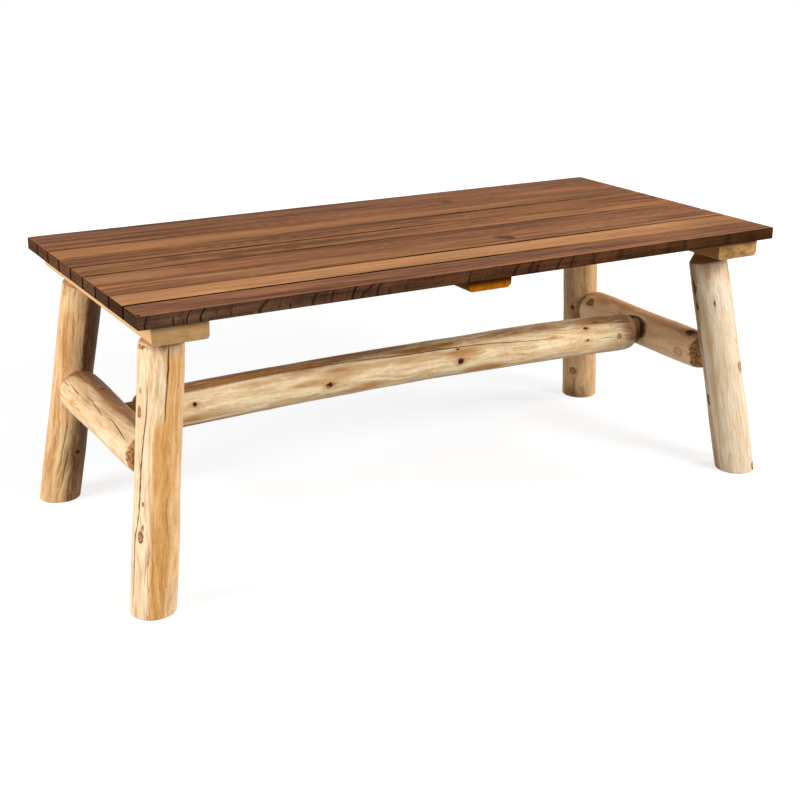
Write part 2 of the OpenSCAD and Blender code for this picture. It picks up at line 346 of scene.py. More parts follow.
@dataclass(frozen=True)
class PlankFinish:
    """Colours and figure of one oiled walnut plank."""

    base: str
    figure: float = 0.35
    crown: float = 0.0
    drift: float = 0.0
    streak: float = 1.0
    end: str = "5c3f2b"
    spots: tuple[Spot, ...] = ()
    strokes: tuple[SawStroke, ...] = ()
    arch_gap: float = 0.034

    def material(self, name: str, board: Board, gaps: Sequence[GapShadeAndDirt]) -> bpy.types.Material:
        """Builds the plank's material.

        Args:
            name: The material's name.
            board: Where the plank lies.
            gaps: Painted shade and dirt in the gap in front and the gap behind, as (place along, darkness)
                points.

        Returns:
            The material.
        """
        s = Shader(bpy.data.materials.new(name))
        seed = board.centre * 61 + 17
        place = s.place()
        x, y, z = s.split(place)
        across = y - board.centre
        wander = s.noise(place, (2.2, 9, 9), seed, 1)
        ripple = s.noise(place, (9, 40, 40), seed + 14, 1)
        bent = s.join(x, y + wander * 0.006 + ripple * 0.0009, z + wander * 0.003)
        bands = s.noise(bent, (1.8, 78, 60), seed + 1, 2)
        lines = s.noise(bent, (9, 165, 110), seed + 2, 3, 0.6)
        fine = s.noise(bent, (28, 620, 420), seed + 3, 2)
        arch = across - (s.noise(s.join(x, 0, 0), (1.1, 1, 1), seed + 4, 0) * 0.012 + self.crown)
        tongue = x + arch * arch * 330 + s.noise(place, (3, 26, 26), seed + 5, 1) * 0.03
        shown = s.noise(place, (2, 12, 12), seed + 6, 1).ease(-0.6, 0.5)
        arches = (tongue * (2 * math.pi / self.arch_gap)).sine() * shown
        slow = s.noise(place, (2.4, 20, 20), seed + 7, 2)
        tone = bands * 0.52 + lines * 0.44 + fine * 0.24 + arches * (self.figure * 0.34)
        tone = (tone * self.streak + slow * 0.34) + x * self.drift + 0.5
        colour = s.mix(tone, paint(self.base, (0.40, 0.38, 0.39)), paint(self.base, (1.66, 1.68, 1.60)))
        for spot in self.spots:
            colour = self._spot(s, colour, x, across, spot, seed)
        pores = s.noise(bent, (55, 1500, 1500), seed + 9, 0).ease(0.45, 1.0)
        colour = s.mix(pores * 0.45, colour, paint(self.base, (0.32, 0.28, 0.28)))
        colour = self._worn(s, colour, across, board, seed)
        ends = abs(x).ease(board.end - 0.0016, board.end - 0.0006)
        rings = across.hypot(z - (board.top - 0.05)) * 1500 + s.noise(place, (1, 60, 60), seed, 1) * 1.5
        speck = s.noise(place, (1, 2100, 2100), seed + 11, 0)
        sawn = s.noise(place, (1, 18, 420), seed + 12, 1)
        end_tone = rings.sine() * 0.18 + speck * 0.20 + sawn * 0.34 + 0.5
        grain = s.mix(end_tone, paint(self.end, (0.34, 0.32, 0.30)), paint(self.end, (1.6, 1.6, 1.6)))
        colour = s.mix(ends, colour, grain)
        colour = self._gaps(s, colour, across, board, gaps, ends)
        relief = lines * 0.10 + fine * 0.16 - pores * 0.5 + sawn * ends * 0.6
        rough = fine * 0.05 + bands * 0.05 + ends * 0.2 + 0.5
        if self.strokes:
            colour, relief, rough = self._saw_marks(s, colour, relief, rough, board)
        return s.finish(colour, rough, relief, 0.0005, 0.010)

    def _spot(
        self, s: Shader, colour: Paint, x: Number, across: Number, spot: Spot, seed: float
    ) -> Paint:
        """Lays one cloud or knot into the grain.

        Args:
            s: The plank's shader.
            colour: Colour of the grain.
            x: Place along the plank.
            across: Place across it.
            spot: The cloud or knot.
            seed: Shifts its ragged edge.

        Returns:
            The colour with the spot in it.
        """
        ragged = s.noise(s.place(), (38, 150, 1), seed + spot.x * 9, 2)
        u = (x - spot.x) / spot.long
        v = (across - (x - spot.x) * spot.lean - spot.across) / spot.wide
        far = u.hypot(v) + ragged * 0.3
        tone = paint(spot.tone) if spot.tone else paint(self.base, (0.40, 0.37, 0.36))
        return s.mix(far.ease(1.3, 0.3) * spot.level, colour, tone)

    def _worn(self, s: Shader, colour: Paint, across: Number, board: Board, seed: float) -> Paint:
        """Pales the upper edges: the long ones with wear and a painted highlight, the sawn ends with wear.

        Args:
            s: The plank's shader.
            colour: Colour of the faces.
            across: Place across the plank.
            board: Where the plank lies.
            seed: Shifts the wear.

        Returns:
            The colour with its edges laid in.
        """
        half, top, end = board.half, board.top, board.end
        place = s.place()
        x, _, z = s.split(place)
        worn = s.noise(place, (20, 60, 60), seed + 10, 2)
        # wear and a painted highlight along both long upper edges
        edge_wear_and_highlight = abs(across).ease(half - 0.0050, half - 0.0030) * z.ease(top - 0.004, top - 0.0015)
        colour = s.mix(edge_wear_and_highlight * (worn * 0.16 + 0.18), colour, paint(self.base, (2.0, 2.0, 2.0)))
        tips = abs(x).ease(end - 0.0035, end - 0.0018) * z.ease(top - 0.003, top - 0.0012)
        return s.mix(tips * (worn * 0.2 + 0.25), colour, paint(self.base, (1.6, 1.6, 1.6)))

    def _gaps(
        self, s: Shader, colour: Paint, across: Number, board: Board, gaps: Sequence[GapShadeAndDirt], ends: Number
    ) -> Paint:
        """Paints shade and some dirt on the sides that face a gap, more in some places than in others, and
        painted shade in the slots at the sawn ends.

        Args:
            s: The plank's shader.
            colour: Colour so far.
            across: Place across the plank.
            board: Where the plank lies.
            gaps: Painted shade and dirt along the front and the back side, empty where there is no gap.
            ends: Where the sawn ends are.

        Returns:
            The colour with its dark sides.
        """
        half, end = board.half, board.end
        x, _, _ = s.split(s.place())
        broken = s.noise(s.place(), (14, 1, 1), sum(level for gap_shade in gaps for _, level in gap_shade), 2)
        for side, points in zip((-1, 1), gaps):
            if points:
                stops = [((place / end + 1) / 2, level) for place, level in points]
                run = {"Fac": x / (2 * end) + 0.5}
                shown = Number(s, s.node("ShaderNodeValToRGB", {"stops": stops}, run))
                # painted shade, with some dirt, on the side that faces the gap
                gap_shade = (across * side).ease(half - 0.0040, half - 0.0015)
                gap_shade = gap_shade * (shown * (broken * 0.35 + 1)).low(1.0)
                colour = s.mix(gap_shade, colour, paint(GAP_SHADE_AND_GRIME))
                # painted shade in the slot between the sawn ends
                slot = ends * (across * side).ease(half - 0.0034, half - 0.0016)
                colour = s.mix(slot * 0.9, colour, paint(SLOT_SHADE))
        return colour

    def _saw_marks(
        self, s: Shader, colour: Paint, relief: Number, rough: Number, board: Board
    ) -> tuple[Paint, Number, Number]:
        """Lays the dark sawn front of the outer plank, with its curved blade marks.

        Args:
            s: The plank's shader.
            colour: Colour of the planed faces.
            relief: Relief of the planed faces.
            rough: Roughness of the planed faces.
            board: Where the plank lies.

        Returns:
            Colour, relief and roughness with the sawn face laid in.
        """
        place = s.place()
        x, y, z = s.split(place)
        face = board.centre - board.half
        front = y.ease(face + 0.0012, face + 0.0004)
        climb = (z - (board.top - board.thick)) / board.thick
        bend = climb * climb
        wobble = s.noise(place, (60, 1, 130), 3.3, 1) * 0.0011
        stroke = climb * 0
        for mark in self.strokes:
            line = abs(x + wobble - bend * mark.lean - mark.x).ease(mark.wide * 1.6, mark.wide * 0.4)
            foot = climb.ease(mark.low - 0.12, mark.low + 0.12)
            shown = foot * climb.ease(mark.high + 0.12, mark.high - 0.12)
            stroke = stroke.high(line * shown * mark.level)
        fade = s.noise(place, (11, 1, 55), 8.2, 2)
        scores = s.noise(s.join(x + wobble * 2 - bend * 0.008, 0, 0), (260, 1, 1), 9.7, 2)
        soot = s.noise(s.join(x - bend * 0.01, 0, z), (48, 1, 30), 5.1, 2).ease(0.2, 1.0)
        grain = s.noise(place, (5, 1, 480), 4.6, 2)
        tone = fade * 0.38 + grain * 0.42 + scores * 0.18 + 0.5
        left, right = (s.mix(tone, *map(paint, pair)) for pair in (SAWN_LEFT, SAWN_RIGHT))
        wood = s.mix(x.ease(-0.6, 0.1), left, right)
        wood = s.mix(x.ease(0.20, 0.56) * 0.6, wood, paint(SAWN_FAR))
        wood = s.mix(soot * 0.55, wood, paint(SOOT))
        wood = s.mix((stroke * (scores * 0.2 + 0.95)).low(1), wood, paint(BLADE))
        wood = s.mix(climb.ease(0.80, 0.90) * (fade * 0.2 + 0.25), wood, paint(EAVES))
        relief = relief + front * (scores * 0.5 - stroke * 1.4 - soot * 0.4 + fade * 0.3)
        return s.mix(front, colour, wood), relief, rough + front * 0.15


@dataclass(frozen=True)
class CleatFinish:
    """Colours of one cleat, with a painted shadow of the planks on its ends."""

    light: str
    dark: str
    end_light: str
    end_dark: str
    stain_and_shadow: str
    shaded: Triple = (0.4600, 0.4665, 0.6)
    blots: float = 0.24
    stripes: float = 0.0
    gloss: float = 0.25

    def material(self, name: str, centre: float, end: float) -> bpy.types.Material:
        """Builds the cleat's material.

        Args:
            name: The material's name.
            centre: Place of the cleat along the table.
            end: Half the cleat's length.

        Returns:
            The material.
        """
        s = Shader(bpy.data.materials.new(name))
        seed = centre * 13 + 8
        place = s.place()
        x, y, z = s.split(place)
        wander = s.noise(place, (9, 2, 9), seed, 1)
        bent = s.join(x + wander * 0.005, y, z + wander * 0.002)
        bands = s.noise(bent, (95, 1.5, 95), seed + 1, 2)
        lines = s.noise(bent, (520, 7, 520), seed + 2, 2)
        colour = s.mix(bands * 0.22 + lines * 0.14 + 0.55, paint(self.dark), paint(self.light))
        ends = abs(y).ease(end - 0.0009, end - 0.0002)
        fibre = s.noise(place, (900, 1, 260), seed + 3, 2)
        arcs = (x - centre + 0.01).hypot(z - 0.36) * 2600 + s.noise(place, (60, 1, 60), seed, 1)
        blot = s.noise(place, (45, 1, 90), seed + 4, 3)
        upright = s.noise(place, (230, 1, 34), seed + 5, 2)
        end_tone = fibre * 0.2 + arcs.sine() * 0.07 + blot * self.blots + upright * self.stripes + 0.5
        grain = s.mix(end_tone, paint(self.end_dark), paint(self.end_light))
        grain = s.mix(blot.ease(0.6, 1.3) * 0.6, grain, paint(self.stain_and_shadow))
        # painted shadow of the planks: the end face darkens towards its top, in the stain colour
        low, high, depth = self.shaded
        shade = (z + blot * 0.0012 + upright * (self.stripes * 0.004)).ease(low, high)
        colour = s.mix(ends, colour, s.mix(shade * depth, grain, paint(self.stain_and_shadow)))
        rough = lines * 0.05 + ends * 0.12 + 0.6
        return s.finish(colour, rough, lines * 0.25 + ends * fibre * 0.8, 0.0005, self.gloss)


@dataclass(frozen=True)
class LogFinish:
    """Colours of one peeled log."""

    cream: str
    honey: str
    fibre: str = "a8784a"
    # warm and grey are dark browns on some logs, where they serve as painted shade
    warm: str = "dc9a4c"
    grey: str = "9c8468"
    # cut is dark on some logs, as painted shade on shoulders and tenons
    cut: str = "c89c66"
    streak: float = 1.0
    thread: float = 0.55
    pale: float = 0.56
    fleck: float = 0.0
    mottle: float = 0.14
    bark: str = "6e431f"
    crumb: str = "bd8a56"

    def material(self, name: str, seed: float) -> bpy.types.Material:
        """Builds the log's material from the marks that its mesh carries.

        Args:
            name: The material's name.
            seed: Shifts the grain.

        Returns:
            The material.
        """
        s = Shader(bpy.data.materials.new(name))
        raw = s.mark("grain")
        gx, gy, along = s.split(raw)
        sway = s.noise(raw, (26, 26, 9), seed, 1)
        curl = s.noise(raw, (85, 85, 42), seed + 15, 2)
        shift = sway * 0.0045 + curl * 0.0017
        grain = s.join(gx + shift, gy - shift, along)
        drawn = s.noise(raw, (38, 38, 7), seed, 1)
        broad = s.noise(grain, (48, 48, 4.5), seed + 1, 2)
        streaks = s.noise(grain, (185, 185, 12), seed + 2, 3, 0.6)
        hairs = s.noise(grain, (560, 560, 32), seed + 3, 2)
        mottle = s.noise(raw, (120, 120, 85), seed + 18, 3, 0.65)
        flats = s.noise(raw, (46, 46, 13), seed + 4, 1).ease(-0.08, 0.2)
        contour = (s.noise(grain, (34, 34, 3.2), seed + 20, 1) * 12 + streaks * 0.9).sine()
        figure = broad * 0.26 + streaks * 0.34 + hairs * 0.24 + contour * 0.15
        figure = (figure + mottle * self.mottle) * self.streak
        tone = figure + (flats - 0.5) * 0.14 + drawn * 0.12 + self.pale
        colour = s.mix(tone, paint(self.honey), paint(self.cream))
        # the tone mark lays the warm colour where it is positive and the grey where it is negative; on
        # several logs these are painted shade under the table top and the cleats and at the joints
        bark, tone_and_shade, cut = s.split(s.mark("skin"))
        lean = tone_and_shade + (streaks * 0.20 + broad * 0.12 + mottle * 0.08) * abs(tone_and_shade).ease(0.0, 0.5)
        band = figure * 1.1 + 0.5
        flame = s.mix(band, paint(self.warm, (0.76, 0.68, 0.58)), paint(self.warm, (1.25, 1.34, 1.6)))
        colour = s.mix(lean.ease(0.0, 1.0) * 0.92, colour, flame)
        dull_and_shade = s.mix(band, paint(self.grey, (0.7, 0.66, 0.62)), paint(self.grey, (1.35, 1.4, 1.5)))
        colour = s.mix(lean.ease(0.0, -1.0) * 0.92, colour, dull_and_shade)
        veins = abs(s.noise(grain, (100, 100, 4.5), seed + 5, 2)).ease(0.07, 0.0)
        veins = veins * s.noise(grain, (70, 70, 9), seed + 16, 1).ease(0.0, 0.6)
        threads = s.noise(grain, (400, 400, 17), seed + 6, 3).ease(0.40, 1.05).high(veins)
        colour = s.mix(threads * self.thread, colour, paint(self.fibre))
        sheen = s.noise(grain, (300, 300, 20), seed + 17, 2).ease(0.3, 0.9)
        colour = s.mix(sheen * 0.35, colour, paint(self.cream, (1.05, 1.05, 1.05)))
        if self.fleck:
            scallop = s.noise(raw, (330, 330, 150), seed + 7, 2).ease(0.25, 0.9)
            where = s.noise(raw, (24, 24, 9), seed + 8, 1).ease(-0.1, 0.7)
            colour = s.mix(scallop * where * self.fleck, colour, paint(self.fibre))
        colour = self._cuts(s, raw, colour, cut, seed)
        colour, pit = self._knots(s, raw, colour, seed)
        colour, crack = self._checks(s, raw, colour, seed)
        colour, flakes = self._bark(s, raw, colour, bark, seed)
        relief = hairs * 0.32 + streaks * 0.4 + mottle * 0.35 - threads * 0.5 + flats * 0.7
        relief = relief + flakes - pit - crack * 4
        rough = streaks * 0.04 + hairs * 0.04 + bark * 0.2 + crack * 0.3 + pit * 0.3 + 0.58
        return s.finish(colour, rough, relief, 0.0006, 0.15)

    def _cuts(
        self, s: Shader, grain: bpy.types.NodeSocket, colour: Paint, cut: Number, seed: float
    ) -> Paint:
        """Lays the cut colour on the carved shoulders and tenons, dark on some logs as painted shade under
        the cleats and in the joints, and shows the rings on sawn ends.

        Args:
            s: The log's shader.
            grain: The point along the grain.
            colour: Colour of the skin.
            cut: 0 on the skin, 1 where it is carved and 2 where it is sawn.
            seed: Shifts the tool marks.

        Returns:
            The colour with the cut wood laid in.
        """
        x, y, _ = s.split(grain)
        rings = (x.hypot(y) * 2100 + s.noise(grain, (50, 50, 1), seed + 8, 1) * 1.3).sine()
        tool = s.noise(grain, (150, 150, 130), seed + 9, 2)
        wood = s.mix(tool * 0.2 + 0.5, paint(self.fibre), paint(self.cut))
        wood = s.mix(cut.ease(1.2, 1.9) * (rings * 0.25 + 0.3), wood, paint(self.fibre))
        return s.mix(cut.ease(0.1, 0.9), colour, wood)

    def _knots(
        self, s: Shader, grain: bpy.types.NodeSocket, colour: Paint, seed: float
    ) -> tuple[Paint, Number]:
        """Lays the knots in: a dark heart, a paler ring and a warm halo.

        Args:
            s: The log's shader.
            grain: The point along the grain.
            colour: Colour of the wood.
            seed: Shifts the knots' ragged edges.

        Returns:
            The colour with its knots, and the depth of their hearts.
        """
        u, v, reach = s.split(s.mark("knot"))
        ragged = s.noise(grain, (420, 420, 260), seed + 10, 2)
        broken = s.noise(grain, (260, 260, 200), seed + 14, 2)
        _, _, heart = s.split(s.mark("check"))
        uneven = s.noise(grain, (230, 230, 150), seed + 21, 2)
        far = (u + uneven * 0.45).hypot(v + broken * 0.4).high(reach - 1.2)
        edge = far + ragged * 0.14
        halo = (u * 1.1).hypot(v * 0.62).high(reach - 2.5) + broken * 0.5
        colour = s.mix(halo.ease(2.6, 0.8) * heart.ease(0.3, 1.0) * 0.6, colour, paint(KNOT_HALO))
        filled = heart.ease(0.0, 0.3) * 0.5 + 0.3
        colour = s.mix(edge.ease(1.2, 0.9) * filled, colour, paint(KNOT_WOOD))
        rim = edge.ease(0.55, 0.9) * edge.ease(1.3, 1.05) * broken.ease(-0.75, 0.3)
        colour = s.mix(rim * (heart.ease(0.0, 0.5) * 0.5 + 0.35), colour, paint(KNOT_RIM))
        dark = edge.ease(1.0, 0.66) * heart.ease(0.4, 0.95)
        return s.mix(dark, colour, paint(KNOT_HEART)), edge.ease(0.9, 0.4) * heart * 1.2

    def _checks(
        self, s: Shader, grain: bpy.types.NodeSocket, colour: Paint, seed: float
    ) -> tuple[Paint, Number]:
        """Opens the drying checks as ragged lines of painted shade, over a shallow groove, with a brown lip.

        Args:
            s: The log's shader.
            grain: The point along the grain.
            colour: Colour of the wood.
            seed: Shifts the ragged edges.

        Returns:
            The colour with its checks, and where they are open.
        """
        side, gap, _ = s.split(s.mark("check"))
        ragged = s.noise(grain, (600, 600, 90), seed + 11, 2)
        far = abs(side + ragged * 0.35).high(gap - 3)
        crack = far.ease(1.25, 0.55)
        colour = s.mix(far.ease(4.5, 0.8) * 0.45, colour, paint(CHECK_LIP))
        # painted shade inside the open check
        return s.mix(crack * 0.93, colour, paint(CHECK_SHADE)), crack

    def _bark(
        self, s: Shader, grain: bpy.types.NodeSocket, colour: Paint, bark: Number, seed: float
    ) -> tuple[Paint, Number]:
        """Leaves rough crumbs of inner bark where the drawknife missed them.

        Args:
            s: The log's shader.
            grain: The point along the grain.
            colour: Colour of the wood.
            bark: How much bark is left.
            seed: Shifts the crumbs.

        Returns:
            The colour with its bark, and the height of the crumbs.
        """
        crumbs = s.cells(grain, (240, 240, 180), seed + 12)
        frayed = s.noise(grain, (210, 210, 120), seed + 13, 3)
        cover = (bark + frayed * 0.55).ease(0.42, 0.62) * bark.ease(0.02, 0.2)
        flake = s.mix(crumbs.ease(0.1, 0.7), paint(self.bark), paint(self.crumb))
        flake = s.mix(frayed.ease(0.5, 1.2) * 0.5, flake, paint(BARK_DUST))
        return s.mix(cover, colour, flake), cover * (1.6 - crumbs * 1.6)


@dataclass(frozen=True)
class SteelFinish:
    """Zinc-plated steel of the screws."""

    light: str = "b9bab6"
    dark: str = "84868a"

    def material(self, name: str) -> bpy.types.Material:
        """Builds the steel with its faint turning lines and dull spots.

        Args:
            name: The material's name.

        Returns:
            The material.
        """
        s = Shader(bpy.data.materials.new(name))
        place = s.place()
        dull_and_shade = s.noise(place, (700, 700, 700), 3.1, 3)
        lines = s.noise(place, (300, 300, 4200), 4.7, 1)
        colour = s.mix(dull_and_shade * 0.3 + lines * 0.12 + 0.5, paint(self.dark), paint(self.light))
        return s.finish(colour, dull_and_shade * 0.1 + 0.36, lines, 0.00004, 0.5, metallic=1.0)


# Mesh tools


def select_only(*pieces: bpy.types.Object) -> None:
    """Selects these pieces and no other, because an operator acts on all that is selected.

    Args:
        pieces: The pieces; the first one becomes the active one.
    """
    if bpy.context.mode != "OBJECT":
        bpy.ops.object.mode_set(mode="OBJECT")
    bpy.ops.object.select_all(action="DESELECT")
    for piece in pieces:
        piece.select_set(True)
    if pieces:
        bpy.context.view_layer.objects.active = pieces[0]


@contextmanager
def editing() -> Iterator[None]:
    """Opens the active mesh with all of it selected, and closes it with its normals outwards."""
    bpy.ops.object.mode_set(mode="EDIT")
    bpy.ops.mesh.select_all(action="SELECT")
    yield
    bpy.ops.mesh.select_all(action="SELECT")
    bpy.ops.mesh.normals_make_consistent(inside=False)
    bpy.ops.object.mode_set(mode="OBJECT")


def name_piece(name: str) -> bpy.types.Object:
    """Names the new active object and its mesh, and puts its place into the mesh.

    Args:
        name: Name of the piece.

    Returns:
        The piece.
    """
    piece = bpy.context.active_object
    piece.name = piece.data.name = name
    bpy.ops.object.transform_apply(location=True, rotation=True, scale=True)
    return piece


def block(name: str, size: Triple, place: Triple = (0, 0, 0)) -> bpy.types.Object:
    """Saws a block of a given size with its middle at a place."""
    select_only()
    bpy.ops.mesh.primitive_cube_add(size=1, location=place, scale=size)
    return name_piece(name)


def lathe(name: str, sides: int, rings: Sequence[tuple[float, float]]) -> bpy.types.Object:
    """Draws a round piece up along Z, ring by ring from a circle.

    Args:
        name: Name of the piece.
        sides: Number of points round it.
        rings: Height and radius of each ring, upwards.

    Returns:
        The piece.
    """
    select_only()
    z, r = rings[0]
    bpy.ops.mesh.primitive_circle_add(vertices=sides, radius=r, fill_type="NGON", location=(0, 0, z))
    piece = name_piece(name)
    with editing():
        for next_z, next_r in rings[1:]:
            bpy.ops.mesh.extrude_region_move(TRANSFORM_OT_translate={"value": (0, 0, next_z - z)})
            share = next_r / r
            bpy.ops.transform.resize(value=(share, share, 1), center_override=(0, 0, next_z))
            z, r = next_z, next_r
    return piece


def pick(choose: Callable[[object], bool], faces: bool = False) -> None:
    """Selects edges or faces of the mesh in edit mode.

    Args:
        choose: Says whether an edge or a face is wanted.
        faces: Whether faces are picked and not edges.
    """
    bpy.ops.mesh.select_mode(type="FACE" if faces else "EDGE")
    bpy.ops.mesh.select_all(action="DESELECT")
    mesh = bpy.context.edit_object.data
    shape = bmesh.from_edit_mesh(mesh)
    for part in shape.faces if faces else shape.edges:
        if choose(part):
            part.select_set(True)
    shape.select_flush_mode()
    bmesh.update_edit_mesh(mesh)


def read_points(piece: bpy.types.Object) -> np.ndarray:
    """Gives a mesh's points as rows of x, y and z."""
    flat = np.zeros(len(piece.data.vertices) * 3, np.float32)
    piece.data.vertices.foreach_get("co", flat)
    return flat.reshape(-1, 3).astype(float)


def write_points(piece: bpy.types.Object, points: np.ndarray) -> None:
    """Puts moved points back into a mesh."""
    piece.data.vertices.foreach_set("co", points.astype(np.float32).ravel())
    piece.data.update()


def store_mark(piece: bpy.types.Object, name: str, *parts: np.ndarray) -> None:
    """Stores a vector on every point of a mesh, for its shader."""
    mark = piece.data.attributes.new(name, "FLOAT_VECTOR", "POINT")
    mark.data.foreach_set("vector", np.stack(parts, 1).astype(np.float32).ravel())


def repeat(pattern: bpy.types.Object, places: Iterable[Place]) -> bpy.types.Object:
    """Copies a pattern with its own mesh to every place, joins the copies and removes the pattern.

    Args:
        pattern: The piece to copy, with its head at the origin and its point up.
        places: Head of each copy and the way it points: 0 for up, or -1 and 1 along X.

    Returns:
        The joined copies.
    """
    base = read_points(pattern)
    copies = []
    for place, way in places:
        laid = np.stack([way * base[:, 2], base[:, 1], -way * base[:, 0]], 1) if way else base
        copy = pattern.copy()
        copy.data = pattern.data.copy()
        bpy.context.scene.collection.objects.link(copy)
        write_points(copy, laid + np.array(place))
        copies.append(copy)
    select_only(*copies)
    bpy.ops.object.join()
    bpy.data.objects.remove(pattern)
    return copies[0]


def carve(piece: bpy.types.Object, cutter: bpy.types.Object) -> None:
    """Cuts one shape out of another.

    Args:
        piece: The piece that is cut.
        cutter: The shape that is taken away, and removed afterwards.
    """
    select_only(piece)
    knife = piece.modifiers.new("cut", "BOOLEAN")
    knife.operation = "DIFFERENCE"
    knife.solver = "MANIFOLD"
    knife.object = cutter
    bpy.ops.object.modifier_apply(modifier=knife.name)
    bpy.data.objects.remove(cutter)


def dress(
    piece: bpy.types.Object, node: str, material: bpy.types.Material, angle: float
) -> None:
    """Gives a piece its shading, its finish and its body, and hides the solid that it stands for.

    Args:
        piece: The finished piece.
        node: Name of the solid's node.
        material: The piece's finish.
        angle: Edges below this angle in degrees are shaded smooth.
    """
    select_only(piece)
    bpy.ops.object.shade_smooth_by_angle(angle=math.radians(angle))
    piece.data.materials.clear()
    piece.data.materials.append(material)
    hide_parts(node)
    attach(piece, BODY)
    LOG.info("%s: %d faces", piece.name, len(piece.data.polygons))


class Weather:
    """Seeded smooth noise on a surface that is measured in two directions."""

    def __init__(self, seed: int) -> None:
        """Starts the random numbers of one piece."""
        self.random = np.random.default_rng(seed)

    def field(self, along: np.ndarray, turn: np.ndarray, step: float, count: int) -> np.ndarray:
        """Gives noise from -1 to 1.

        Args:
            along: Places along the piece, in metres.
            turn: Places round the piece, 1 for a whole turn, where the noise meets itself.
            step: Distance between the noise's knots along the piece.
            count: Number of the noise's knots round the piece.

        Returns:
            One value for each place.
        """
        low = along.min() - step
        table = self.random.uniform(-1, 1, (int((along.max() - low) / step) + 3, count))
        i, j = (along - low) / step, (turn % 1.0) * count
        i0, j0 = np.floor(i).astype(int), np.floor(j).astype(int)
        a, b = i - i0, j - j0
        a, b = a * a * (3 - 2 * a), b * b * (3 - 2 * b)
        j0, j1 = j0 % count, (j0 + 1) % count
        first = table[i0, j0] * (1 - b) + table[i0, j1] * b
        return first * (1 - a) + (table[i0 + 1, j0] * (1 - b) + table[i0 + 1, j1] * b) * a


# Top

SAW_STROKES = rows(
    SawStroke,
    (-0.6000, 0.007), (-0.5560, 0.000, 0.0016, 0.8, 0.6), (-0.5410, 0.003, 0.0013, 0.7, 0.4),
    (-0.5360, 0.009, 0.0014), (-0.5145, 0.009, 0.0018, 0.9), (-0.4900, 0.002, 0.0014, 0.5, 0.7, 0.3),
    (-0.4670, 0.006, 0.0014, 0.7, 0.5), (-0.4340, 0.003, 0.0020, 0.5, 0.3), (-0.4200, 0.018, 0.0030, 0.75),
    (-0.3700, 0.003, 0.0017, 0.7, 0.45), (-0.3320, 0.011, 0.0022, 0.75), (-0.3010, 0.009, 0.0018, 0.7),
    (-0.2650, 0.010, 0.0022, 0.9), (-0.2470, 0.025, 0.0028, 0.75), (-0.2210, 0.010, 0.0020, 0.85),
    (-0.1990, 0.010, 0.0030, 0.5, 0.5), (-0.1690, 0.002, 0.0030, 0.45, 0.5),
    (-0.1190, 0.001, 0.0030, 0.4, 1.2, 0.6), (-0.0515, 0.008, 0.0024, 0.65),
    (0.0100, 0.008, 0.0022, 0.4, 1.2, 0.3), (0.0360, 0.016, 0.0030, 0.8, 0.8), (0.0660, 0.010, 0.0030, 0.75),
    (0.0810, 0.010, 0.0026, 0.7), (0.1230, 0.015, 0.0030, 0.7), (0.1510, 0.010, 0.0030, 0.7),
    (0.1980, 0.002, 0.0040, 0.4), (0.2560, 0.004, 0.0070, 0.45, 1.2, 0.2), (0.3620, 0.006, 0.0060, 0.4),
    (0.3990, 0.002, 0.0050, 0.4), (0.4990, 0.000, 0.0070, 0.4), (0.5560, 0.000, 0.0060, 0.3),
)

# Darkness of the painted shade and dirt in each gap between the planks, from the front to the back.
GAP_SHADE_AND_DIRT: tuple[GapShadeAndDirt, ...] = (
    ((-0.61, 1.0), (0.10, 1.0), (0.30, 0.4), (0.61, 0.4)),
    ((-0.61, 0.6), (-0.25, 0.55), (0.0, 0.95), (0.30, 1.0), (0.50, 0.7)),
    ((-0.61, 0.5), (-0.30, 0.45), (0.15, 0.2), (0.61, 0.25)),
    ((-0.61, 0.8), (0.45, 0.7), (0.61, 0.4)),
    ((-0.61, 0.6), (0.0, 0.9), (0.30, 0.1), (0.61, 0.45)),
    ((-0.61, 0.5), (-0.12, 0.45), (0.30, 1.0), (0.61, 0.4)),
    ((-0.61, 0.45), (-0.12, 0.22), (0.30, 0.2), (0.61, 0.35)),
    ((-0.61, 0.3), (-0.12, 0.15)),
)

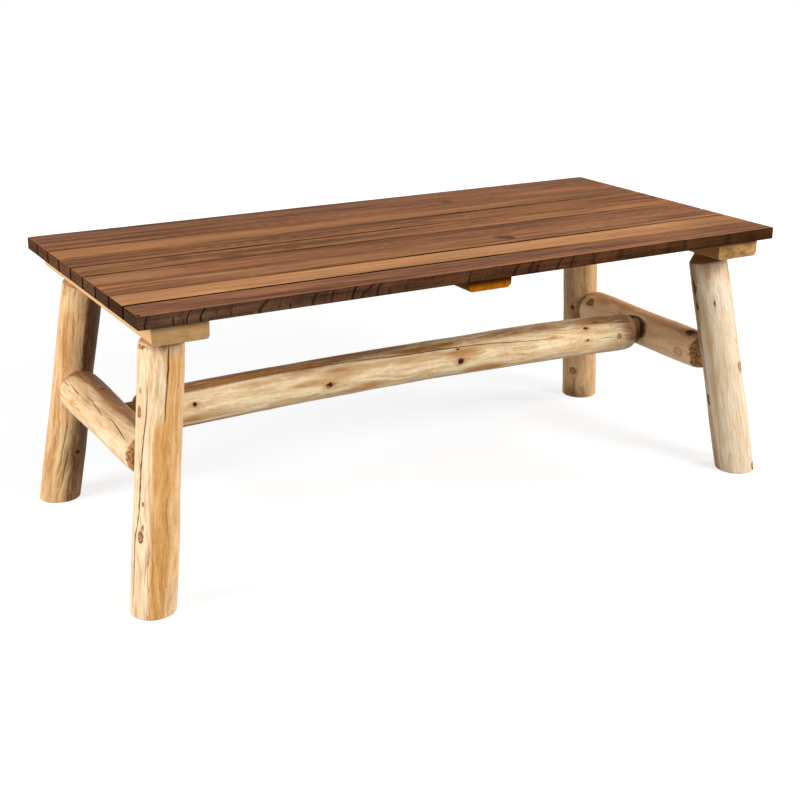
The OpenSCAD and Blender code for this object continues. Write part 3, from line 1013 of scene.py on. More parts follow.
PLANK_FINISHES = (
    PlankFinish("83563c", 0.5, 0.01, end="3a281b", strokes=SAW_STROKES, spots=rows(
        Spot,
        (-0.44, -0.012, 0.12, 0.0045, 0.62, "", -0.114), (-0.24, -0.010, 0.11, 0.0045, 0.62, "", -0.165),
        (-0.50, 0.004, 0.07, 0.004, 0.35, "", -0.10), (0.30, 0.010, 0.10, 0.008, 0.25),
        # The last spot on this line, near black at the front left corner, is the painted shade of a chip
        # that the mesh doesn't carry.
        (0.55, 0.004, 0.09, 0.028, 0.42), (-0.607, -0.027, 0.004, 0.009, 1.0, "1a0f09"),
    )),
    PlankFinish("af7b52", 0.12, -0.01, -0.22, 0.6, "392415", rows(
        Spot,
        (-0.08, 0.001, 0.08, 0.003, 0.32), (-0.36, -0.014, 0.09, 0.010, 0.22),
        (0.55, 0.0, 0.08, 0.030, 0.25, "8a5226"),
    )),
    PlankFinish("8c5d3d", 0.25, 0.02, 0.05, 1.1, "452f21", rows(
        Spot,
        (0.128, 0.008, 0.020, 0.014, 0.85, "4a3022"), (0.136, -0.003, 0.011, 0.007, 0.95, "2e1d14"),
        (0.123, 0.017, 0.010, 0.005, 0.8, "3a261b"), (0.07, 0.002, 0.13, 0.018, 0.3),
        (-0.06, 0.0, 0.05, 0.02, 0.25), (0.33, 0.0, 0.12, 0.016, 0.35, "b98558"),
        (-0.42, 0.012, 0.09, 0.008, 0.35, "b98a5e"),
    )),
    PlankFinish("855638", 0.45, -0.005, -0.08, end="593e2a", spots=rows(
        Spot,
        (-0.54, 0.0, 0.10, 0.026, 0.6, "b07f5a"), (-0.27, 0.004, 0.10, 0.006, 0.4, "", -0.1),
        (-0.10, 0.006, 0.14, 0.012, 0.35), (0.03, -0.012, 0.06, 0.005, 0.4, "", -0.2),
        (0.50, 0.012, 0.09, 0.012, 0.45), (0.16, 0.016, 0.10, 0.005, 0.3),
    )),
    PlankFinish("905f3c", 0.4, 0.012, 0.1, end="593a24", spots=rows(
        Spot,
        (-0.435, 0.014, 0.024, 0.016, 0.8), (-0.50, -0.010, 0.08, 0.004, 0.5, "", 0.16),
        (-0.345, -0.016, 0.035, 0.012, 0.7), (-0.20, 0.006, 0.075, 0.022, 0.5),
        (-0.235, -0.012, 0.022, 0.009, 0.75), (-0.17, 0.012, 0.06, 0.004, 0.55, "", -0.08),
        (-0.54, 0.010, 0.07, 0.012, 0.4, "b3814f"), (0.30, 0.0, 0.10, 0.02, 0.3, "b3814f"),
    )),
    PlankFinish("845637", 1.0, streak=1.1, end="5d3f2a", spots=rows(
        Spot,
        (-0.44, 0.018, 0.03, 0.010, 0.5), (-0.2, 0.0, 0.12, 0.012, 0.3),
        (0.05, -0.003, 0.08, 0.005, 0.5, "", -0.28), (0.13, 0.004, 0.08, 0.005, 0.45, "", -0.28),
        (0.50, -0.004, 0.09, 0.016, 0.4), (-0.30, 0.016, 0.06, 0.006, 0.3, "a97b58"),
    )),
    PlankFinish("93633f", 0.2, 0.015, -0.32, 0.8, "563b25", rows(
        Spot, (0.10, 0.022, 0.50, 0.010, 0.45), (-0.42, -0.006, 0.18, 0.012, 0.3, "b78257"),
    )),
    PlankFinish("87573a", 0.5, -0.012, 0.08, end="503422", spots=rows(
        Spot,
        (0.207, 0.001, 0.014, 0.013, 0.85), (-0.17, 0.012, 0.06, 0.012, 0.4),
        (0.12, 0.010, 0.10, 0.012, 0.45), (0.42, -0.004, 0.10, 0.012, 0.4, "b27d50"),
    )),
    PlankFinish("7d5338", 0.4, 0.01, 0.1, end="4e3422"),
)


@dataclass
class PlankTop:
    """Nine planks side by side, each with its own colour and worn edges."""

    length: float = 1.22
    width: float = 0.0635
    thickness: float = 0.022
    pitch: float = 0.066
    top: float = 0.489
    edge: float = 0.0016
    step: float = 0.01
    worn_end: float = 0.004
    finishes: tuple[PlankFinish, ...] = PLANK_FINISHES
    gap_shade_and_dirt: tuple[GapShadeAndDirt, ...] = GAP_SHADE_AND_DIRT

    def build(self) -> None:
        """Builds, wears and dresses every plank."""
        for number, finish in enumerate(self.finishes, start=1):
            centre = (number - (len(self.finishes) + 1) / 2) * self.pitch
            board = Board(centre, self.width / 2, self.thickness, self.top, self.length / 2)
            piece = self.plank(f"plank_{number}_worn", centre)
            self.wear(piece, centre, number)
            sides = ((), *self.gap_shade_and_dirt, ())[number - 1 : number + 1]
            material = finish.material(f"walnut_{number}", board, sides)
            dress(piece, f"plank_{number}", material, 50)

    def plank(self, name: str, centre: float) -> bpy.types.Object:
        """Models one board with eased edges and enough cuts to wear it.

        Args:
            name: Name of the piece.
            centre: Place of its middle line across the table.

        Returns:
            The board.
        """
        size = (self.length, self.width, self.thickness)
        piece = block(name, size, (0, centre, self.top - self.thickness / 2))
        cuts = (int(self.length / self.step) - 1, 9, 3)
        with editing():
            bpy.ops.mesh.bevel(offset=self.edge, segments=4, affect="EDGES")
            for axis, number in enumerate(cuts):
                half = size[axis] / 2
                pick(lambda e: abs(e.verts[0].co[axis] - e.verts[1].co[axis]) > half)
                bpy.ops.mesh.subdivide(number_cuts=number)
        return piece

    def wear(self, piece: bpy.types.Object, centre: float, seed: int) -> None:
        """Rounds the edges a little more in places and lets the faces undulate, always inwards.

        Args:
            piece: The plank.
            centre: Place of its middle line across the table.
            seed: Its own random seed.
        """
        points = read_points(piece)
        weather = Weather(seed)
        x = points[:, 0]
        across = (points[:, 1] - centre) / (self.width / 2)
        height = (points[:, 2] - self.top + self.thickness / 2) / (self.thickness / 2)
        turn = np.arctan2(height, across) / (2 * math.pi)
        upper = np.clip(height, 0, 1)
        hollow = 0.5 + 0.5 * weather.field(x, turn, 0.11, 9)
        nick = np.clip(weather.field(x, turn, 0.022, 22), 0, 1) ** 3
        corner = np.clip(np.abs(across) - 0.93, 0, 1) / 0.07 * upper**4
        tip = np.clip((np.abs(x) - self.length / 2 + self.worn_end) / self.worn_end, 0, 1)
        points[:, 2] -= 0.00018 * hollow * upper**3
        points[:, 2] -= (0.0002 + 0.0005 * hollow + 0.0009 * nick) * corner
        points[:, 1] -= np.sign(across) * (0.0002 + 0.0004 * hollow + 0.0006 * nick) * corner
        points[:, 2] -= 0.0008 * tip * upper**6
        points[:, 0] -= np.sign(x) * 0.0006 * tip * upper**6 * (0.5 + hollow)
        write_points(piece, points)


# Cleats and screws


@dataclass
class Fasteners:
    """Countersunk screws with a cross recess, and the places where they sit."""

    shank: float = 0.00225
    head: float = 0.0045
    rim: float = 0.0005
    plain: float = 0.004
    thread: float = 0.0022
    point: float = 0.006
    sharp: float = 0.0003
    recess: float = 0.0022
    slot_w: float = 0.0010
    slot_l: float = 0.0048
    bite: float = 0.014
    spread: float = 0.018
    inset: float = 0.011
    sunk: float = 0.0008
    play: float = 0.0002
    over: float = 0.0003
    sides: int = 20
    lock_length: float = 0.045
    finish: SteelFinish = SteelFinish()

    @property
    def cone(self) -> float:
        """Gives the height of the head, from its rim to the shank."""
        return self.rim + self.head - self.shank

    def screw(self, name: str, length: float) -> bpy.types.Object:
        """Turns one screw with its head at the origin and its point up, and cuts the recess.

        Args:
            name: Name of the piece.
            length: Length of the screw.

        Returns:
            The screw.
        """
        rings = [(0.0, self.head), (self.rim, self.head), (self.cone, self.shank)]
        z = self.cone + self.plain
        while z < length - self.point:
            rings += [(z, self.shank * 0.78), (z + self.thread / 2, self.shank)]
            z += self.thread
        rings += [(length - self.point, self.shank * 0.8), (length, self.sharp)]
        piece = lathe(name, self.sides, rings)
        for size in ((self.slot_l, self.slot_w), (self.slot_w, self.slot_l)):
            cutter = block("recess_cutter", (*size, 2 * self.recess))
            with editing():
                pick(lambda f: f.normal.z > 0.9, faces=True)
                bpy.ops.transform.resize(value=(0.45, 0.45, 1), center_override=(0, 0, self.recess))
            carve(piece, cutter)
        return piece

    def drive(self, name: str, node: str, places: Iterable[Place], length: float,
              material: bpy.types.Material) -> None:
        """Puts one kind of screw in all its places.

        Args:
            name: Name of the piece.
            node: Name of the solid's node.
            places: Head centre of each screw and the way it points.
            length: Length of the screws.
            material: Their finish.
        """
        repeat(self.screw(name, length), places)
        dress(name_piece(name), node, material, 30)

    def bore(self, piece: bpy.types.Object, places: Iterable[Place]) -> None:
        """Bores countersunk holes, all in one cut.

        Args:
            piece: The piece that is bored.
            places: Head centre of each screw and the way it points.
        """
        select_only()
        bpy.ops.mesh.primitive_cone_add(
            vertices=self.sides, radius1=self.head + self.play, radius2=self.shank, depth=self.cone
        )
        cone = name_piece("bore")
        points = read_points(cone)
        points[:, 2] += self.cone / 2
        points[points[:, 2] < self.cone / 2, 2] -= self.sunk + self.over
        write_points(cone, points)
        carve(piece, repeat(cone, places))


@dataclass
class Cleats:
    """Two end cleats and the thinner middle one, bored for their screws."""

    length: float = 0.5625
    top: float = 0.467
    end_x: float = 0.5405
    end_w: float = 0.091
    end_t: float = 0.0315
    round_r: float = 0.0065
    middle_w: float = 0.084
    middle_t: float = 0.0215
    chamfer: float = 0.006
    arris: float = 0.0009
    plank_pitch: float = 0.066
    planks: int = 9
    leg_y: float = 0.198
    leg_splay: float = 7.8
    screws: Fasteners = field(default_factory=Fasteners)
    pale: CleatFinish = CleatFinish("dcb27c", "b98852", "d3a972", "94683c", "7d5530")
    # The tan colours are darkened partly as painted shade under the table top.
    tan: CleatFinish = CleatFinish(
        "b08048", "805628", "d2a266", "5e3a1a", "4a2e16", blots=0.5, gloss=0.12
    )
    # The orange middle cleat has a deep painted shadow of the planks on its ends.
    orange: CleatFinish = CleatFinish(
        "80562c", "5c3b1c", "d27c08", "6e3402", "361602", (0.4475, 0.4620, 0.92), 0.3, 0.4, 0.04
    )

    def build(self) -> None:
        """Builds the cleats, then the screws that hold them to the planks."""
        steel = self.screws.finish.material("zinc")
        for side, sign in (("left", -1), ("middle", 0), ("right", 1)):
            wide, thick = (self.end_w, self.end_t) if sign else (self.middle_w, self.middle_t)
            place = sign * self.end_x
            piece = self.board(f"cleat_{side}_planed", place, wide, thick, bool(sign))
            heads = self.heads(place, wide, thick)
            self.screws.bore(piece, heads + (self.locks(sign) if sign else []))
            finish = (self.pale, self.orange, self.tan)[sign + 1]
            slot = "pale_cleat" if sign else "orange_cleat"
            material = finish.material(f"{slot}_{side}", place, self.length / 2)
            dress(piece, f"cleat_{side}", material, 35)
            length = thick + self.screws.bite
            self.screws.drive(f"screws_{side}", f"cleat_screws_{side}", heads, length, steel)
        locks = self.locks(-1) + self.locks(1)
        self.screws.drive("screws_tenons", "tenon_lock_screws", locks, self.screws.lock_length, steel)

    def heads(self, place: float, wide: float, thick: float) -> list[Place]:
        """Gives the head centre of both screws of every plank in one cleat.

        Args:
            place: Middle of the cleat along the table.
            wide: Its width.
            thick: Its thickness.

        Returns:
            The head centres, of screws that point up.
        """
        z = self.top - thick + self.screws.sunk
        return [
            ((place + s * (wide / 2 - self.screws.inset), line + s * self.screws.spread / 2, z), 0)
            for line in ((n - (self.planks - 1) / 2) * self.plank_pitch for n in range(self.planks))
            for s in (-1, 1)
        ]

    def locks(self, sign: int) -> list[Place]:
        """Gives the head centre of the two screws that lock the leg tenons of one end cleat.

        Args:
            sign: -1 for the left cleat and 1 for the right one.

        Returns:
            The head centres, of screws that point along the table.
        """
        line = self.leg_y - self.end_t / 2 * math.tan(math.radians(self.leg_splay))
        x = sign * (self.end_x - self.end_w / 2 + self.screws.sunk)
        return [((x, s * line, self.top - self.end_t / 2), sign) for s in (-1, 1)]

    def board(
        self, name: str, place: float, wide: float, thick: float, rounded: bool
    ) -> bpy.types.Object:
        """Models one cleat with its rounded or chamfered lower edges.

        Args:
            name: Name of the piece.
            place: Its middle along the table.
            wide: Its width.
            thick: Its thickness.
            rounded: Whether the lower edges are rounded and not chamfered.

        Returns:
            The board.
        """
        piece = block(name, (wide, self.length, thick), (place, 0, self.top - thick / 2))
        low, end, long = self.top - thick + CLOSE, self.length / 2 - CLOSE, self.length / 2
        with editing():
            pick(lambda e: e.calc_length() > long and all(v.co.z < low for v in e.verts))
            offset, segments = (self.round_r, 8) if rounded else (self.chamfer, 1)
            bpy.ops.mesh.bevel(offset=offset, segments=segments, affect="EDGES")
            pick(
                lambda e: all(abs(v.co.y) > end for v in e.verts)
                or (e.calc_length() > long and len({f.normal.to_tuple(3) for f in e.link_faces}) == 2
                    and (not rounded or all(v.co.z > self.top - CLOSE for v in e.verts)))
            )
            bpy.ops.mesh.bevel(offset=self.arris, segments=3, affect="EDGES")
        return piece


# Logs


class End(Enum):
    """How a log is worked at one end."""

    FOOT = "sawn level at the floor"
    SHOULDER = "sloping shoulder and tenon"
    DOME = "domed shoulder and tenon"


@dataclass(frozen=True)
class Knot:
    """A knot: its place along and round the log, its half length and half width, and how dark."""

    at: float
    angle: float
    long: float
    wide: float
    heart: float


@dataclass(frozen=True)
class Check:
    """A drying check: a line of (place along, angle) points and its half width."""

    line: tuple[tuple[float, float], ...]
    wide: float = 0.0005


@dataclass(frozen=True)
class Patch:
    """A soft-edged area of the skin: bark, or a warmer or greyer tone, which on some logs is painted shade.
    """

    at: float
    angle: float
    long: float
    wide: float
    level: float


@dataclass
class PeeledLog:
    """One peeled log: its axis, its outline, its worked ends, what grew or cracked on it, and tones that are
    partly painted shade.
    """

    name: str
    start: Triple
    along: Triple
    zero: Triple
    length: float
    first_r: float
    second_r: float
    finish: LogFinish
    seed: int
    first: End = End.DOME
    second: End = End.DOME
    tenon_r: float = 0.025
    tenon_l: float = 0.046
    tenon_edge: float = 0.003
    tenon_top: float = 0.020
    bow: float = 0.0
    knots: tuple[Knot, ...] = ()
    checks: tuple[Check, ...] = ()
    bark: tuple[Patch, ...] = ()
    tones: tuple[Patch, ...] = ()
    sides: int = 176
    cuts: int = 14
    ring: float = 0.0026
    dome: float = 0.018
    root_r: float = 0.0265
    shoulder: float = 0.016
    root_back: float = 0.0052
    below: float = 0.014
    foot_edge: float = 0.0013
    foot_draw: float = 0.966
    swell: float = 0.0007
    grain_r: float = 0.036
    check_r: float = 0.0365

    def __post_init__(self) -> None:
        """Works out the log's own frame."""
        self.axis = np.array(Vector(self.along).normalized())
        up = np.array(self.zero, float)
        up -= self.axis * (up @ self.axis)
        self.side_a = up / np.linalg.norm(up)
        self.side_b = np.cross(self.axis, self.side_a)

    # Outline

    def shaft(self) -> tuple[float, float]:
        """Gives the two ends of the natural, uncarved stretch."""
        low = self.dome if self.first is End.DOME else -self.below
        high = self.length - self.dome
        if self.second is End.SHOULDER:
            high = self.length - self.root_back - self.shoulder
        return low, high

    def radius(self, s: np.ndarray | float) -> np.ndarray | float:
        """Gives the log's mean radius at a place along it.

        Args:
            s: The place, or many of them.

        Returns:
            The radius at each place.
        """
        low, high = self.shaft()
        low = max(low, 0)
        t = np.clip((s - low) / (high - low), 0, 1)
        return self.first_r + (self.second_r - self.first_r) * t + self.swell * np.sin(3 * math.pi * t)

    def stations(self) -> list[tuple[float, float]]:
        """Marks the outline out for turning.

        Returns:
            Place along the log and radius of each ring.
        """
        low, high = self.shaft()
        tenon, tip, edge = self.tenon_r, self.tenon_l, self.tenon_edge
        quarter = [math.radians(a) for a in range(0, 91, 9)]
        spans = max(1, round((high - low) / (self.cuts * self.ring)))
        shaft = [low + (high - low) * k / spans for k in range(spans + 1)]
        marks = [(s, float(self.radius(s))) for s in shaft]
        if self.first is End.DOME:
            rise = marks[0][1] - self.root_r
            curve = [(self.dome - self.dome * math.sin(a), self.root_r + rise * math.cos(a))
                     for a in reversed(quarter)]
            marks = [(-tip, tenon - edge), (edge - tip, tenon), (0.0, tenon)] + curve + marks[1:]
        last = marks[-1][1]
        if self.second is End.DOME:
            rise = last - self.root_r
            marks += [(high + self.dome * math.sin(a), self.root_r + rise * math.cos(a))
                      for a in quarter[1:]]
            end = self.length + tip
            return marks + [(self.length, tenon), (end - edge, tenon), (end, tenon - edge)]
        slope = (0.06, 0.14, 0.3, 0.5, 0.7, 0.85, 1.0)
        marks += [(high + self.shoulder * k, last - (last - tenon) * k**1.05) for k in slope]
        return marks + [(self.length + self.tenon_top, tenon)]

    def rough_out(self) -> bpy.types.Object:
        """Turns the outline, then cuts the shaft finely.

        Returns:
            The smooth log, upright.
        """
        piece = lathe(self.name, self.sides, self.stations())
        with editing():
            pick(self.on_shaft)
            bpy.ops.mesh.subdivide(number_cuts=self.cuts - 1)
        return piece

    def on_shaft(self, edge: bmesh.types.BMEdge) -> bool:
        """Says whether an edge runs along the shaft.

        Args:
            edge: An edge of the upright log.

        Returns:
            Whether it does.
        """
        low, high = self.shaft()
        first, second = sorted(v.co.z for v in edge.verts)
        return first > low - CLOSE and second < high + CLOSE and second - first > 10 * CLOSE

    # Relief

    def lift(self, s: np.ndarray) -> tuple[np.ndarray, np.ndarray]:
        """Measures the bow, which runs on straight beyond the domes.

        Args:
            s: Places along the log.

        Returns:
            The bow's height and slope at each place.
        """
        half = self.length / 2 - self.dome
        x = s - self.length / 2
        inner = np.clip(x, -half, half)
        slope = -2 * self.bow * inner / half**2
        return self.bow * (1 - (inner / half) ** 2) + slope * (x - inner), slope

    def angle_to(self, theta: np.ndarray, angle: np.ndarray | float) -> np.ndarray:
        """Gives the shortest turn from an angle in degrees to each point, in radians."""
        return (theta - np.radians(angle) + math.pi) % (2 * math.pi) - math.pi

    def spot(self, s: np.ndarray, theta: np.ndarray, patch: Patch) -> np.ndarray:
        """Lays a soft spot on the log.

        Args:
            s: Places along the log.
            theta: Angles round the log.
            patch: The spot.

        Returns:
            1 at its middle and 0 outside.
        """
        u = self.angle_to(theta, patch.angle) / math.radians(patch.wide)
        v = (s - patch.at) / patch.long
        return np.clip(1.5 - 1.5 * np.sqrt(u * u + v * v), 0, 1)

    def check_gap(self, s: np.ndarray, theta: np.ndarray) -> tuple[np.ndarray, np.ndarray]:
        """Measures each point against its nearest check.

        Args:
            s: Places along the log.
            theta: Angles round the log.

        Returns:
            The distance to one side, in half widths, and that check's half width.
        """
        side = np.full(s.shape, 40.0)
        wide = np.full(s.shape, 1e-4)
        rng = Weather(self.seed + 77)
        for check in self.checks:
            places, angles = np.array(sorted(check.line)).T
            shake = rng.field(s, np.zeros_like(s), 0.012, 1) * 0.0005
            off = self.angle_to(theta, np.interp(s, places, angles)) * self.check_r + shake
            t = np.clip((s - places[0]) / (places[-1] - places[0]), 0, 1)
            swell = 0.78 + 0.22 * rng.field(s, np.zeros_like(s), 0.03, 1)
            open_w = check.wide * np.maximum(np.sin(math.pi * t) ** 0.5 * swell, 0.02)
            outside = (s < places[0]) | (s > places[-1])
            ratio = np.where(outside, 40.0, np.clip(off / open_w, -40, 40))
            near = np.abs(ratio) < np.abs(side)
            side, wide = np.where(near, ratio, side), np.where(near, open_w, wide)
        return side, wide

    def sculpt(self, piece: bpy.types.Object) -> None:
        """Gives the shaft its uneven, peeled surface, then lays the log along its own axis.

        Args:
            piece: The upright log.
        """
        points = read_points(piece)
        s = points[:, 2]
        theta = np.arctan2(points[:, 1], points[:, 0])
        r = np.hypot(points[:, 0], points[:, 1])
        low, high = self.shaft()
        turn = theta / (2 * math.pi)
        weather = Weather(self.seed)
        natural = np.clip((high - s + 0.010) / 0.014, 0, 1)
        if self.first is not End.FOOT:
            natural = np.clip((s - low + 0.010) / 0.014, 0, 1) * natural
        dr = 0.0010 * weather.field(s, turn, 0.17, 4) + 0.0005 * weather.field(s, turn, 0.07, 7)
        ridge = np.abs(weather.field(s, turn, 0.085, 13))
        dr += 0.00055 * (0.45 - ridge) + 0.00012 * weather.field(s, turn, 0.03, 60)
        for knot in self.knots:
            u = self.angle_to(theta, knot.angle) * r / knot.wide
            v = (s - knot.at) / knot.long
            d2 = u * u + v * v
            dr += min(knot.wide, 0.007) * (0.16 * np.exp(-d2 / 5) - 0.12 * np.exp(-d2 / 0.6))
        side, wide = self.check_gap(s, theta)
        dr -= 0.0011 * np.exp(-((side * wide / 0.0014) ** 2))
        for patch in self.bark:
            dr += 0.0010 * self.spot(s, theta, patch) * (0.6 + 0.4 * weather.field(s, turn, 0.004, 90))
        carved = 0.00035 * np.abs(weather.field(s, turn, 0.006, 17))
        solid = (s > -0.015) & (s < self.length + 0.001)
        r = np.where(r > 1e-4, r + dr * natural - carved * (1 - natural) * solid, r)
        height, slope = self.lift(s)
        out_a, out_b = r * np.cos(theta), r * np.sin(theta)
        placed = np.array(self.start) + np.outer(s - out_a * slope, self.axis)
        placed = placed + np.outer(out_a + height, self.side_a) + np.outer(out_b, self.side_b)
        write_points(piece, placed)

    def saw_foot(self, piece: bpy.types.Object) -> None:
        """Saws the foot level at the floor and eases its rim.

        Args:
            piece: The log in its place.
        """
        rim = self.foot_edge
        select_only(piece)
        with editing():
            bpy.ops.mesh.bisect(
                plane_co=(0, 0, rim), plane_no=(0, 0, 1), use_fill=True, clear_inner=True, threshold=1e-6
            )
            pick(lambda f: all(abs(v.co.z - rim) < CLOSE for v in f.verts), faces=True)
            bpy.ops.mesh.extrude_region_move(TRANSFORM_OT_translate={"value": (0, 0, -rim)})
            share = (self.foot_draw, self.foot_draw, 1)
            bpy.ops.transform.resize(value=share, center_override=(self.start[0], self.start[1], 0))

    # Marks for the shader

    def mark(self, piece: bpy.types.Object) -> None:
        """Stores on every point what the shader needs: grain, knots, checks and skin.

        Args:
            piece: The log in its place.
        """
        offset = read_points(piece) - np.array(self.start)
        s = offset @ self.axis
        for _ in range(2):
            height, slope = self.lift(s)
            a = offset @ self.side_a - height
            s = offset @ self.axis + a * slope
        b = offset @ self.side_b
        theta, r = np.arctan2(b, a), np.hypot(a, b)
        low, high = self.shaft()
        weather = Weather(self.seed + 500)
        turn = theta / (2 * math.pi)
        flow = 0.0070 * weather.field(s, turn, 0.14, 3) + 0.0026 * weather.field(s, turn, 0.055, 7)
        reach = np.full(s.shape, 12.0)
        u_near, v_near, heart = np.zeros(s.shape), np.zeros(s.shape), np.zeros(s.shape)
        for knot in self.knots:
            u = self.angle_to(theta, knot.angle) * np.maximum(r, 0.02) / knot.wide
            v = (s - knot.at) / knot.long
            far = np.sqrt(u * u + v * v)
            push = knot.wide * np.exp(-((v / 2.4) ** 2)) * np.exp(-np.abs(u) / 3.2)
            flow -= np.sign(u) * push * np.clip(np.abs(u) / 0.6, 0, 1)
            near = far < reach
            reach, heart = np.where(near, far, reach), np.where(near, knot.heart, heart)
            u_near, v_near = np.where(near, u, u_near), np.where(near, v, v_near)
        bent = theta + flow / self.grain_r
        store_mark(piece, "grain", r * np.cos(bent), r * np.sin(bent), s)
        u_near, v_near = np.clip(u_near, -12, 12), np.clip(v_near, -12, 12)
        store_mark(piece, "knot", u_near, v_near, np.clip(reach, 0, 12))
        side, _ = self.check_gap(s, theta)
        store_mark(piece, "check", side, np.abs(side), heart)
        bark, tone_and_shade = np.zeros(s.shape), np.zeros(s.shape)
        for patch in self.bark:
            bark = np.maximum(bark, patch.level * self.spot(s, theta, patch))
        # tones, some of them painted shade, go into the skin mark
        for patch in self.tones:
            tone_and_shade += patch.level * self.spot(s, theta, patch)
        tone_and_shade += 0.15 * weather.field(s, turn, 0.2, 4)
        tone_and_shade *= 1 + 0.35 * weather.field(s, turn, 0.035, 22)
        cut = np.clip((np.maximum(low - s, s - high) - 0.006) / 0.005, 0, 1)
        if self.first is End.FOOT:
            cut = np.clip((s - high) / 0.003, 0, 1)
            cut = np.where(read_points(piece)[:, 2] < self.foot_edge / 2, 2.0, cut)
        store_mark(piece, "skin", bark, tone_and_shade, cut)

    def build(self) -> None:
        """Shapes, saws, marks and dresses the log."""
        piece = self.rough_out()
        self.sculpt(piece)
        if self.first is End.FOOT:
            self.saw_foot(piece)
        self.mark(piece)
        material = self.finish.material(f"{self.name}_wood", self.seed * 1.37)
        dress(piece, self.name.replace("_peeled", ""), material, 48)


